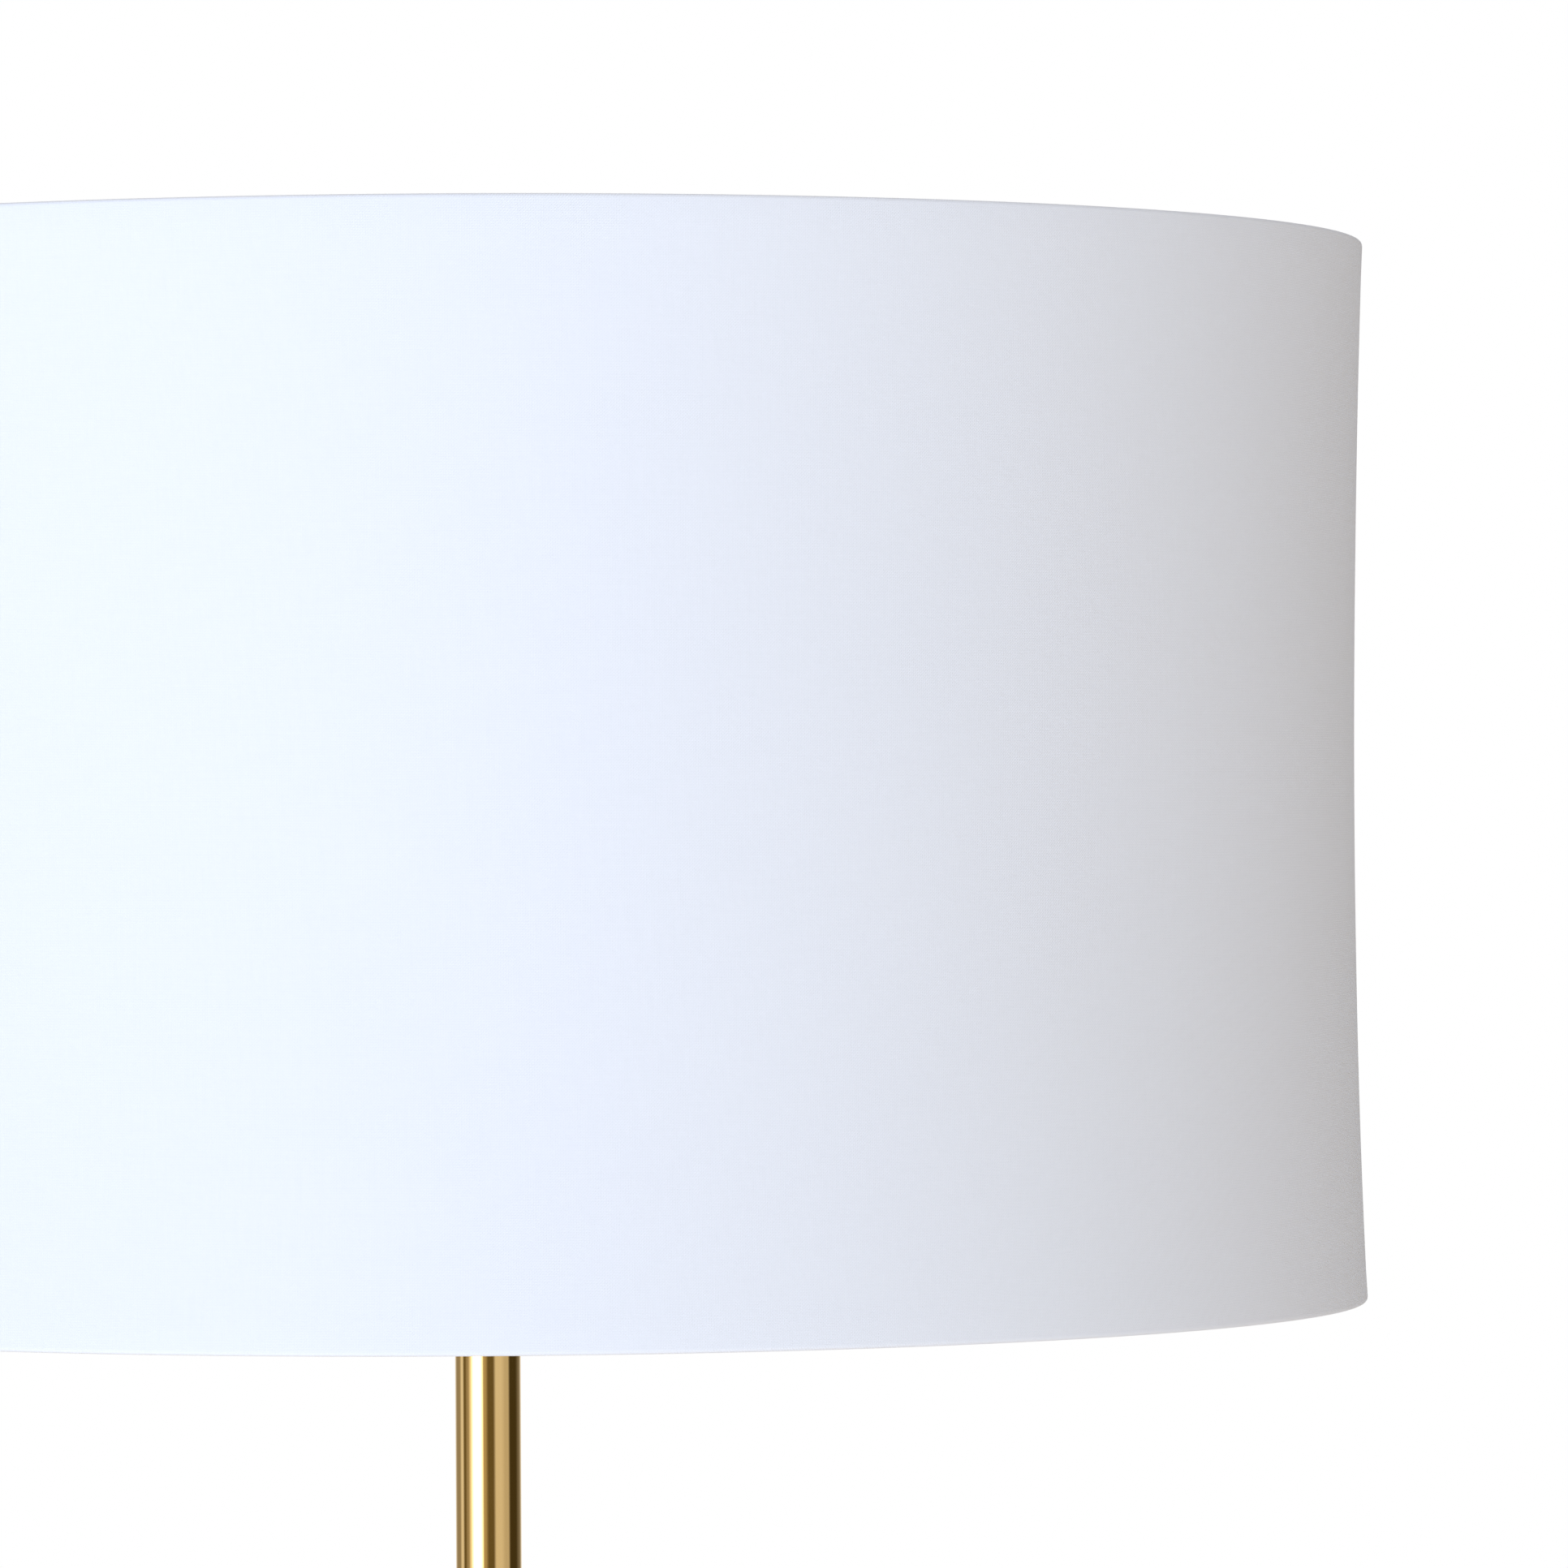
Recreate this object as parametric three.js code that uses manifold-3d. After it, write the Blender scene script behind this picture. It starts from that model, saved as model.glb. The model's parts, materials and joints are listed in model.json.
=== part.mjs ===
// Floor lamp on an arched brass pole: a weighted round base, a pole that rises in one long arc
// and ends upright, and a white fabric drum shade held on a harp over an upright bulb.
// Millimetres, +Z up. The origin is on the floor, at the centre of the base.
import * as THREE from "three";
import { mergeVertices } from "three/addons/utils/BufferGeometryUtils.js";
import Module from "manifold-3d";

const wasm = await Module();
wasm.setup();

// ---------------------------------------------------------------- driving dimensions
const GAP = 0.3; // clearance kept between pieces that touch
const SHADE_RADIUS = 254; // outside, at the rims
const SHADE_HEIGHT = 305;
const SHADE_TOP = 1600; // height of the shade's top rim above the floor
const SHADE_WAIST = 2.6; // how far the stretched wall draws in at mid height
const POLE_RADIUS = 9.5;
const POLE_WALL = 1.2;
const POLE_TOP = 1330; // height of the end of the pole, inside the shade
const ARC_RADIUS = 1300; // of the pole's centre line
const ARC_ANGLE = THREE.MathUtils.degToRad(46); // lean of the pole where it leaves the foot
const BASE_RADIUS = 150;
const BASE_HEIGHT = 30;

// Sides of the round pieces, by size.
const SHADE_SIDES = 36;
const BASE_SIDES = 36;
const POLE_SIDES = 16;
const SMALL_SIDES = 16;
const TINY_SIDES = 10;

// ---------------------------------------------------------------- materials
const finish = (color, roughness, metalness) =>
  new THREE.MeshStandardMaterial({ color, roughness, metalness });
const polishedBrass = finish(0xc9a05a, 0.12, 1);
const plainBrass = finish(0xb8924f, 0.35, 1);
const castIron = finish(0x3a3a3c, 0.8, 0.6);
const zincSteel = finish(0xa8a9ab, 0.4, 1);
const felt = finish(0x2b2a28, 0.95, 0);
const shadeCloth = finish(0xeff3f8, 0.9, 0);
const linerFilm = finish(0xf5f5f2, 0.5, 0);
const frostedGlass = finish(0xf6f4ee, 0.5, 0);
const aluminium = finish(0xc4c5c8, 0.35, 1);
const blackResin = finish(0x17171a, 0.45, 0);
const insulatingCard = finish(0x9a8262, 0.9, 0);
const goldInsulation = finish(0xb59a62, 0.5, 0);
const copper = finish(0xb06a3e, 0.4, 1);

// ---------------------------------------------------------------- helpers
const lamp = new THREE.Group();

function place(parent, name, geometry, material) {
  const mesh = new THREE.Mesh(geometry, material);
  mesh.name = name;
  parent.add(mesh);
  return mesh;
}

const points2 = (pairs) => pairs.map(([x, y]) => new THREE.Vector2(x, y));

// Twice the signed area inside a loop of [r, z] pairs.
function loopArea(pairs) {
  return pairs.reduce((sum, [r, z], i) => {
    const [nextR, nextZ] = pairs[(i + 1) % pairs.length];
    return sum + r * nextZ - nextR * z;
  }, 0);
}

// A solid of revolution about Z from [r, z] pairs, given in either direction.
function turned(pairs, sides) {
  const loop = loopArea(pairs) > 0 ? [...pairs] : [...pairs].reverse();
  const first = loop.findIndex(
    ([r], i) => r === 0 && loop[(i + 1) % loop.length][0] > 0,
  );
  const ordered =
    first < 0
      ? [...loop, loop[0]]
      : [...loop.slice(first), ...loop.slice(0, first)];
  return new THREE.LatheGeometry(points2(ordered), sides).rotateX(Math.PI / 2);
}

// The profile of a plain ring: a tube standing on end.
const ringProfile = (inner, outer, bottom, top) => [
  [inner, bottom],
  [outer, bottom],
  [outer, top],
  [inner, top],
];

const discProfile = (radius, bottom, top) => ringProfile(0, radius, bottom, top);

// Points of an arc about [r, z], from one angle to another in degrees.
function arcPoints([r, z], radius, from, to, steps) {
  return Array.from({ length: steps + 1 }, (_, i) => {
    const angle = THREE.MathUtils.degToRad(from + ((to - from) * i) / steps);
    return [r + radius * Math.cos(angle), z + radius * Math.sin(angle)];
  });
}

function polygon(radius, sides) {
  const step = (2 * Math.PI) / sides;
  return points2(
    Array.from({ length: sides }, (_, i) => [
      radius * Math.cos(i * step),
      radius * Math.sin(i * step),
    ]),
  );
}

// A round bar, or a tube if inner is given, swept along a curve.
function swept(curve, outer, inner, sides, steps) {
  const section = new THREE.Shape(polygon(outer, sides));
  if (inner > 0) {
    section.holes.push(new THREE.Path(polygon(inner, sides)));
  }
  return new THREE.ExtrudeGeometry(section, {
    steps,
    extrudePath: curve,
    bevelEnabled: false,
  });
}

// A smooth curve through [x, y, z] points.
const smooth = (triples) =>
  new THREE.CatmullRomCurve3(
    triples.map(([x, y, z]) => new THREE.Vector3(x, y, z)),
    false,
    "centripetal",
  );

const line = (from, to) => new THREE.LineCurve3(from, to);

// A cylinder about Z, from one height to another.
function rod(radius, bottom, top, sides) {
  return new THREE.CylinderGeometry(radius, radius, top - bottom, sides)
    .rotateX(Math.PI / 2)
    .translate(0, 0, (bottom + top) / 2);
}

function block(low, high) {
  const size = high.map((v, i) => v - low[i]);
  const middle = high.map((v, i) => (v + low[i]) / 2);
  return new THREE.BoxGeometry(...size).translate(...middle);
}

function hexProfile(acrossFlats) {
  return new THREE.Shape(polygon(acrossFlats / 2 / Math.cos(Math.PI / 6), 6));
}

function hexNut(acrossFlats, bore, bottom, top) {
  const section = hexProfile(acrossFlats);
  section.holes.push(new THREE.Path(polygon(bore, SMALL_SIDES)));
  return new THREE.ExtrudeGeometry(section, {
    depth: top - bottom,
    bevelEnabled: false,
  }).translate(0, 0, bottom);
}

function toSolid(geometry) {
  const bare = geometry.clone();
  bare.deleteAttribute("normal");
  bare.deleteAttribute("uv");
  const merged = mergeVertices(bare, 1e-3);
  return new wasm.Manifold(
    new wasm.Mesh({
      numProp: 3,
      vertProperties: merged.attributes.position.array,
      triVerts: new Uint32Array(merged.index.array),
    }),
  );
}

function toGeometry(solid) {
  const mesh = solid.getMesh();
  return new THREE.BufferGeometry()
    .setAttribute(
      "position",
      new THREE.BufferAttribute(new Float32Array(mesh.vertProperties), 3),
    )
    .setIndex(new THREE.BufferAttribute(new Uint32Array(mesh.triVerts), 1));
}

function cut(geometry, ...tools) {
  const left = tools.reduce(
    (solid, tool) => solid.subtract(toSolid(tool)),
    toSolid(geometry),
  );
  return toGeometry(left);
}

// ---------------------------------------------------------------- base
const COVER_WALL = 1.4;
const COVER_EDGE = 7; // radius of the cover's rounded edge
const FELT_THICKNESS = 2;
const WEIGHT_BOTTOM = FELT_THICKNESS + GAP;
const WEIGHT_TOP = BASE_HEIGHT - COVER_WALL - GAP;
const WEIGHT_RADIUS = BASE_RADIUS - COVER_WALL - 2 * GAP;
const STEM_BORE = 8.6; // hole for the threaded stem through weight and cover
const STEM_RADIUS = 7.95;
const STEM_CLEAR = 8.3; // bore of the pieces that slip over the stem
const STEM_INNER = 5;
const RECESS_RADIUS = 24; // pocket under the weight for washer and nut
const RECESS_TOP = 20;
const CHANNEL_WIDTH = 11; // cord channel under the weight
const CHANNEL_TOP = 13;
const GLAND_HEIGHT = 7.8;
const GLAND_BORE = 2.7;
const GLAND_BODY = 4.5;

function coverGeometry() {
  const edge = [BASE_RADIUS - COVER_EDGE, BASE_HEIGHT - COVER_EDGE];
  const shell = turned(
    [
      [BASE_RADIUS, 1.5],
      ...arcPoints(edge, COVER_EDGE, 0, 90, 3),
      [STEM_BORE, BASE_HEIGHT],
      [STEM_BORE, BASE_HEIGHT - COVER_WALL],
      ...arcPoints(edge, COVER_EDGE - COVER_WALL, 90, 0, 2),
      [BASE_RADIUS - COVER_WALL, 1.5],
    ],
    BASE_SIDES,
  );
  const glandHole = rod(GLAND_BODY + GAP, 0, 20, SMALL_SIDES)
    .rotateX(-Math.PI / 2)
    .translate(0, BASE_RADIUS - 10, GLAND_HEIGHT);
  return cut(shell, glandHole);
}

function weightGeometry() {
  const disc = turned(
    [
      [STEM_BORE, RECESS_TOP],
      [RECESS_RADIUS, RECESS_TOP],
      [RECESS_RADIUS, WEIGHT_BOTTOM],
      [WEIGHT_RADIUS, WEIGHT_BOTTOM],
      [WEIGHT_RADIUS, WEIGHT_TOP - COVER_EDGE],
      [WEIGHT_RADIUS - COVER_EDGE, WEIGHT_TOP],
      [STEM_BORE, WEIGHT_TOP],
    ],
    BASE_SIDES,
  );
  const channel = block(
    [-CHANNEL_WIDTH / 2, RECESS_RADIUS - 4, 0],
    [CHANNEL_WIDTH / 2, BASE_RADIUS + 5, CHANNEL_TOP],
  );
  return cut(disc, channel);
}

function glandGeometry() {
  const outlet = BASE_RADIUS + GAP;
  return turned(
    [
      [GLAND_BORE, outlet - 10],
      [GLAND_BODY, outlet - 10],
      [GLAND_BODY, outlet],
      [6.4, outlet],
      [6.4, outlet + 1.6],
      [5, outlet + 3.2],
      [GLAND_BORE, outlet + 3.2],
    ],
    SMALL_SIDES,
  )
    .rotateX(-Math.PI / 2)
    .translate(0, 0, GLAND_HEIGHT);
}

const WASHER_BOTTOM = RECESS_TOP - GAP - 2.5;
const NUT_TOP = WASHER_BOTTOM - GAP;
const NUT_BOTTOM = NUT_TOP - 6.4;
const STEM_BOTTOM = NUT_BOTTOM - 1;
const FLANGE_RADIUS = 30; // of the flange that the foot stands on
const FLANGE_THICKNESS = 5;
const FLANGE_BOTTOM = BASE_HEIGHT + GAP;
const FLANGE_TOP = FLANGE_BOTTOM + FLANGE_THICKNESS;
const STEM_TOP = FLANGE_TOP + 9;

function buildBase() {
  const base = new THREE.Group();
  lamp.add(base);
  const feltDisc = turned(
    discProfile(BASE_RADIUS - 6, 0, FELT_THICKNESS),
    BASE_SIDES,
  );
  place(base, "base_felt_pad", feltDisc, felt);
  place(base, "base_weight", weightGeometry(), castIron);
  place(base, "base_cover", coverGeometry(), polishedBrass);
  place(base, "cord_gland", glandGeometry(), blackResin);

  const washer = ringProfile(STEM_CLEAR, 20, WASHER_BOTTOM, RECESS_TOP - GAP);
  place(base, "base_washer", turned(washer, SMALL_SIDES), zincSteel);
  const nut = hexNut(25, STEM_CLEAR, NUT_BOTTOM, NUT_TOP);
  place(base, "base_lock_nut", nut, zincSteel);
  const stem = ringProfile(STEM_INNER, STEM_RADIUS, STEM_BOTTOM, STEM_TOP);
  place(base, "base_threaded_stem", turned(stem, SMALL_SIDES), zincSteel);
}

// ---------------------------------------------------------------- foot of the pole
const FOOT_RADIUS = 16;
const FOOT_LENGTH = 62; // along the pole, from the top of the flange
const FOOT_Z = FLANGE_TOP + GAP;
const POLE_SEAT = 26; // where the pole ends inside the foot, along its line
const POLE_BORE = 9.8;
const SCREW_AT = 46; // set screw, along the pole
const SCREW_RADIUS = 2.4;

// A cylinder along the leaning foot, from one distance to another.
const leaning = (radius, from, to, sides) =>
  rod(radius, from, to, sides).rotateY(ARC_ANGLE).translate(0, 0, FOOT_Z);

// The set screw stands square to the pole, on the upper side of its lean.
const setScrew = (radius, from, to) =>
  rod(radius, from, to, TINY_SIDES)
    .rotateY(-Math.PI / 2)
    .translate(0, 0, SCREW_AT)
    .rotateY(ARC_ANGLE)
    .translate(0, 0, FOOT_Z);

function footProfile() {
  return [
    [0, -30],
    [FOOT_RADIUS, -30],
    [FOOT_RADIUS, FOOT_LENGTH - 8],
    ...arcPoints([FOOT_RADIUS - 4, FOOT_LENGTH - 4], 4, 0, 90, 3),
    [0, FOOT_LENGTH],
  ];
}

function flangeProfile() {
  return [
    [STEM_CLEAR, FLANGE_BOTTOM],
    [FLANGE_RADIUS, FLANGE_BOTTOM],
    [FLANGE_RADIUS, FLANGE_TOP - 2.5],
    [FLANGE_RADIUS - 1, FLANGE_TOP - 0.8],
    [FLANGE_RADIUS - 3, FLANGE_TOP],
    [STEM_CLEAR, FLANGE_TOP],
  ];
}

function buildFoot() {
  const flange = turned(flangeProfile(), BASE_SIDES);
  place(lamp, "foot_flange", flange, polishedBrass);

  // The sphere is the hollow in which the cord turns from the stem into the pole.
  const body = turned(footProfile(), SMALL_SIDES)
    .rotateY(ARC_ANGLE)
    .translate(0, 0, FOOT_Z);
  const shaped = cut(
    body,
    block([-100, -100, -100], [100, 100, FOOT_Z]),
    rod(STEM_CLEAR, 0, STEM_TOP + GAP, SMALL_SIDES),
    new THREE.SphereGeometry(9.5, TINY_SIDES, 6).translate(4, 0, FOOT_Z + 10),
    leaning(7, 8, POLE_SEAT, SMALL_SIDES),
    leaning(POLE_BORE, POLE_SEAT, FOOT_LENGTH + 5, SMALL_SIDES),
    setScrew(SCREW_RADIUS + GAP, POLE_BORE - 1, FOOT_RADIUS + 2),
  );
  place(lamp, "pole_foot", shaped, polishedBrass);
  const grub = setScrew(SCREW_RADIUS, POLE_BORE + GAP, FOOT_RADIUS - 0.6);
  place(lamp, "foot_set_screw", grub, zincSteel);
}

// ---------------------------------------------------------------- pole
const FOOT_END = new THREE.Vector2(
  FOOT_LENGTH * Math.sin(ARC_ANGLE),
  FOOT_Z + FOOT_LENGTH * Math.cos(ARC_ANGLE),
);
const SHADE_X = FOOT_END.x + ARC_RADIUS * (1 - Math.cos(ARC_ANGLE));
const ARC_TOP = FOOT_END.y + ARC_RADIUS * Math.sin(ARC_ANGLE);
const JOINT_ANGLE = ARC_ANGLE / 2; // lean of the pole at its lower coupling
const RING_LENGTH = 8;
const RING_RADIUS = 10.6;
const STUD_LENGTH = 36;
const STUD_RADIUS = 7.4;
const WIRE_BORE = 5;
// Lean taken up by half a coupling ring and the gap beside it.
const HALF_RING = (RING_LENGTH / 2 + GAP) / ARC_RADIUS;

// The pole's centre line at a given lean from the vertical.
const arcPoint = (lean) =>
  new THREE.Vector3(
    SHADE_X - ARC_RADIUS * (1 - Math.cos(lean)),
    0,
    ARC_TOP - ARC_RADIUS * Math.sin(lean),
  );

const footPoint = (along) =>
  new THREE.Vector3(
    along * Math.sin(ARC_ANGLE),
    0,
    FOOT_Z + along * Math.cos(ARC_ANGLE),
  );

class PoleArc extends THREE.Curve {
  constructor(fromLean, toLean) {
    super();
    this.fromLean = fromLean;
    this.toLean = toLean;
  }
  getPoint(t) {
    return arcPoint(THREE.MathUtils.lerp(this.fromLean, this.toLean, t));
  }
}

const hollow = (curve, steps) =>
  swept(curve, POLE_RADIUS, POLE_RADIUS - POLE_WALL, POLE_SIDES, steps);

// A coupling: a visible ring between two pole sections, on a hollow threaded stud.
function coupling(name, lean) {
  const at = new THREE.Group();
  at.position.copy(arcPoint(lean));
  at.rotation.y = lean;
  lamp.add(at);
  const half = RING_LENGTH / 2;
  const ring = [
    [STUD_RADIUS + GAP, -half],
    [RING_RADIUS - 0.8, -half],
    [RING_RADIUS, -half + 0.8],
    [RING_RADIUS, half - 0.8],
    [RING_RADIUS - 0.8, half],
    [STUD_RADIUS + GAP, half],
  ];
  place(at, `${name}_ring`, turned(ring, SMALL_SIDES), polishedBrass);
  const stud = ringProfile(
    WIRE_BORE,
    STUD_RADIUS,
    -STUD_LENGTH / 2,
    STUD_LENGTH / 2,
  );
  place(at, `${name}_stud`, turned(stud, SMALL_SIDES), zincSteel);
}

function buildPole() {
  const lower = new THREE.CurvePath();
  lower.add(line(footPoint(POLE_SEAT + GAP), footPoint(FOOT_LENGTH)));
  lower.add(new PoleArc(ARC_ANGLE, JOINT_ANGLE + HALF_RING));
  place(lamp, "pole_lower", hollow(lower, 9), polishedBrass);
  const middle = new PoleArc(JOINT_ANGLE - HALF_RING, HALF_RING);
  place(lamp, "pole_middle", hollow(middle, 8), polishedBrass);
  const bottom = ARC_TOP + RING_LENGTH / 2 + GAP;
  const upper = ringProfile(
    POLE_RADIUS - POLE_WALL,
    POLE_RADIUS,
    bottom,
    POLE_TOP,
  );
  place(lamp, "pole_upper", turned(upper, SMALL_SIDES), polishedBrass).position.x =
    SHADE_X;
  coupling("lower_coupling", JOINT_ANGLE);
  coupling("upper_coupling", 0);
}

// ---------------------------------------------------------------- neck and socket
// Heights in this section are above the end of the pole.
const head = new THREE.Group();
head.position.set(SHADE_X, 0, POLE_TOP);
lamp.add(head);

const NIPPLE_RADIUS = 4.85;
const NIPPLE_CLEAR = 5.2;
const SADDLE_BOTTOM = 6.3;
const SADDLE_THICKNESS = 1.7;
const SADDLE_TOP = SADDLE_BOTTOM + SADDLE_THICKNESS;
const LEG_X = 31; // harp legs from the axis
const PEG_TOP = 26;
const SLEEVE_BOTTOM = 19;
const SLEEVE_LENGTH = 15;
const KEY_HEIGHT = 42; // switch shaft and terminal screws

function buildNeck() {
  const cap = [
    [NIPPLE_CLEAR, -10],
    [STUD_RADIUS, -10],
    [STUD_RADIUS, GAP],
    [11, GAP],
    [11.4, 1.2],
    [11.4, 2.6],
    [10.6, 3.6],
    [8.4, 4.4],
    [8, 6],
    [NIPPLE_CLEAR, 6],
  ];
  place(head, "pole_cap", turned(cap, SMALL_SIDES), polishedBrass);
  const nipple = ringProfile(3.3, NIPPLE_RADIUS, -12, 20);
  place(head, "neck_nipple", turned(nipple, SMALL_SIDES), zincSteel);
  const nut = hexNut(15, NIPPLE_CLEAR, SADDLE_TOP + GAP, SADDLE_TOP + 4.3);
  place(head, "neck_lock_nut", nut, zincSteel);
}

function buildSocket() {
  const cap = [
    [NIPPLE_CLEAR, 12.6],
    [8, 12.6],
    [8.4, 14.6],
    [14.2, 16.8],
    [17.6, 20.6],
    [18.9, 25.6],
    [18.9, 32],
    [18.1, 32],
    [18.1, 26],
    [16.9, 21.4],
    [13.8, 17.9],
    [9, 16.2],
    [NIPPLE_CLEAR, 16.2],
  ];
  place(head, "socket_cap", turned(cap, SMALL_SIDES), plainBrass);

  const keyHole = () =>
    rod(3.2, 8, 30, SMALL_SIDES)
      .rotateX(Math.PI / 2)
      .translate(0, 0, KEY_HEIGHT);
  const shell = [
    [17.1, 27],
    [17.7, 27],
    [17.7, 74.5],
    [18.4, 75.2],
    [18.4, 76.4],
    [17.1, 76.4],
  ];
  place(
    head,
    "socket_shell",
    cut(turned(shell, SMALL_SIDES), keyHole()),
    plainBrass,
  );
  const sleeve = ringProfile(16.1, 16.7, 28, 78);
  const sleeveSolid = cut(turned(sleeve, SMALL_SIDES), keyHole());
  place(head, "socket_insulating_sleeve", sleeveSolid, insulatingCard);

  const shaftHole = rod(2.4, 8, 20, TINY_SIDES)
    .rotateX(Math.PI / 2)
    .translate(0, 0, KEY_HEIGHT);
  // The body is flat on the two sides that hold the terminal screws.
  const flats = [
    block([-20, -20, 30], [-12, 20, 60]),
    block([12, -20, 30], [20, 20, 60]),
  ];
  const screwHoles = rod(1.9, -20, 20, TINY_SIDES)
    .rotateY(Math.PI / 2)
    .translate(0, 0, KEY_HEIGHT);
  const body = cut(
    turned(discProfile(15.6, 34, 50), SMALL_SIDES),
    shaftHole,
    screwHoles,
    ...flats,
  );
  place(head, "socket_body", body, blackResin);

  const screwShell = [
    [4.2, 50.3],
    [13.9, 50.3],
    [13.9, 76],
    [13.35, 76],
    [13.35, 51],
    [4.2, 51],
  ];
  place(head, "socket_screw_shell", turned(screwShell, SMALL_SIDES), aluminium);
  const contact = [
    [0, 50.3],
    [3.4, 50.3],
    [3.4, 51.2],
    [2, 52.3],
    [0, 52.3],
  ];
  place(head, "socket_center_contact", turned(contact, TINY_SIDES), plainBrass);

  const terminal = [
    [0, 8],
    [1.6, 8],
    [1.6, 12.3],
    [3, 12.3],
    [3, 13.6],
    [2, 14.3],
    [0, 14.3],
  ];
  for (const [name, side] of [
    ["hot", -1],
    ["neutral", 1],
  ]) {
    const screw = turned(terminal, TINY_SIDES)
      .rotateY((side * Math.PI) / 2)
      .translate(0, 0, KEY_HEIGHT);
    place(head, `terminal_screw_${name}`, screw, plainBrass);
  }
}

function buildSwitch() {
  const shaft = rod(2, 9, 27, TINY_SIDES)
    .rotateX(Math.PI / 2)
    .translate(0, 0, KEY_HEIGHT);
  place(head, "switch_shaft", shaft, plainBrass);
  const knob = [
    [0, 27.3],
    [4.6, 27.3],
    [6.4, 29.5],
    [5.4, 38],
    [4.4, 39],
    [0, 39],
  ];
  const knobSolid = turned(knob, TINY_SIDES)
    .rotateX(Math.PI / 2)
    .translate(0, 0, KEY_HEIGHT);
  place(head, "switch_knob", knobSolid, blackResin);
}

function buildBulb() {
  const tip = [
    [0, 52.8],
    [3, 52.8],
    [3.8, 54],
    [3.8, 54.8],
    [0, 54.8],
  ];
  place(head, "bulb_tip_contact", turned(tip, TINY_SIDES), aluminium);
  const insulator = [
    [0, 55.1],
    [4.2, 55.1],
    [9.8, 58],
    [0, 58],
  ];
  place(head, "bulb_insulator", turned(insulator, SMALL_SIDES), blackResin);
  const cap = [
    [9.4, 58.9],
    [10, 58.3],
    [13, 61],
    [13, 80],
    [12.4, 80],
    [12.4, 61.6],
  ];
  place(head, "bulb_screw_cap", turned(cap, SMALL_SIDES), aluminium);

  const outside = [
    [11.9, 72],
    [11.9, 80.5],
    [20.5, 99],
    [27.8, 113],
    [30, 126],
    [27.4, 138.5],
    [20, 148.5],
    [0, 156],
  ];
  const inside = [
    [0, 154.8],
    [19.2, 147.4],
    [26.3, 138],
    [28.9, 126],
    [26.7, 113.4],
    [19.4, 99.6],
    [10.9, 80.7],
    [10.9, 72],
  ];
  place(
    head,
    "bulb_glass",
    turned([...outside, ...inside], SMALL_SIDES),
    frostedGlass,
  );
}

// ---------------------------------------------------------------- harp
const HARP_WIRE = 2.1;
const HARP_TOP = 250; // centre of the wire at the top of the loop

function saddleGeometry() {
  const outer = LEG_X + SADDLE_THICKNESS / 2;
  const inner = LEG_X - SADDLE_THICKNESS / 2;
  const right = [
    [27, SADDLE_BOTTOM],
    [outer, 12.4],
    [outer, PEG_TOP],
    [inner, PEG_TOP],
    [inner, 13.1],
    [26.2, SADDLE_TOP],
  ];
  const left = right.map(([x, z]) => [-x, z]).reverse();
  const strip = new THREE.ExtrudeGeometry(
    new THREE.Shape(points2([...right, ...left])),
    { depth: 12, bevelEnabled: false },
  )
    .rotateX(Math.PI / 2)
    .translate(0, 6, 0);
  const shoulder = SLEEVE_BOTTOM - GAP;
  return cut(
    strip,
    block([-40, 2, shoulder], [40, 10, 40]),
    block([-40, -10, shoulder], [40, -2, 40]),
    rod(NIPPLE_CLEAR, 0, 12, SMALL_SIDES),
  );
}

function buildHarp() {
  place(head, "harp_saddle", saddleGeometry(), plainBrass);
  const half = [
    [LEG_X, PEG_TOP + GAP],
    [LEG_X, 38],
    [LEG_X, 50],
    [38, 66],
    [50, 92],
    [55, 124],
    [52.5, 158],
    [44, 192],
    [32, 220],
    [20, 239],
    [9, HARP_TOP - 0.6],
  ];
  const loop = smooth([
    ...half.map(([x, z]) => [x, 0, z]),
    [0, 0, HARP_TOP],
    ...half.reverse().map(([x, z]) => [-x, 0, z]),
  ]);
  place(head, "harp", swept(loop, HARP_WIRE, 0, 8, 36), plainBrass);

  const sleeve = ringProfile(
    2.55,
    3.5,
    SLEEVE_BOTTOM,
    SLEEVE_BOTTOM + SLEEVE_LENGTH,
  );
  for (const [name, side] of [
    ["left", -1],
    ["right", 1],
  ]) {
    place(
      head,
      `harp_sleeve_${name}`,
      turned(sleeve, TINY_SIDES),
      plainBrass,
    ).position.x = side * LEG_X;
  }
  const stud = [
    [0, 252.4],
    [5, 252.4],
    [5, 254.4],
    [2.9, 254.4],
    [2.9, 264],
    [0, 264],
  ];
  place(head, "harp_top_stud", turned(stud, TINY_SIDES), plainBrass);
}

// ---------------------------------------------------------------- finial
const HUB_BOTTOM = 254.7;
const HUB_TOP = 256.2;

function buildFinial() {
  const base = HUB_TOP + GAP;
  const profile = [
    [0, 266],
    [3.3, 265.2],
    [3.3, base],
    [6.5, base],
    [7, base + 1.4],
    [4.2, base + 4],
    [4.2, base + 5.5],
    [8, base + 9.2],
    [8.8, base + 13],
    [7.4, base + 17.4],
    [4, base + 20.2],
    [0, base + 21],
  ];
  place(head, "finial", turned(profile, SMALL_SIDES), polishedBrass);
}

// ---------------------------------------------------------------- shade
const SHADE_BOTTOM = SHADE_TOP - SHADE_HEIGHT;
const CLOTH = 0.8;
const LINER = 1;
const FRAME_WIRE = 1.5; // radius of the frame's wire
const RING_INSET = CLOTH + GAP + FRAME_WIRE; // frame ring's centre inside the shade's outline
const HEM_REACH = RING_INSET - CLOTH / 2; // from the ring's centre to the middle of the cloth
const HEM_DEPTH = 14; // how far the hem is turned down inside

// The wall draws in by this much at a height, most at mid height.
function waist(z) {
  const t = (2 * (z - SHADE_BOTTOM)) / SHADE_HEIGHT - 1;
  return SHADE_WAIST * (1 - t * t);
}

const shade = new THREE.Group();
shade.position.x = SHADE_X;
lamp.add(shade);

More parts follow.
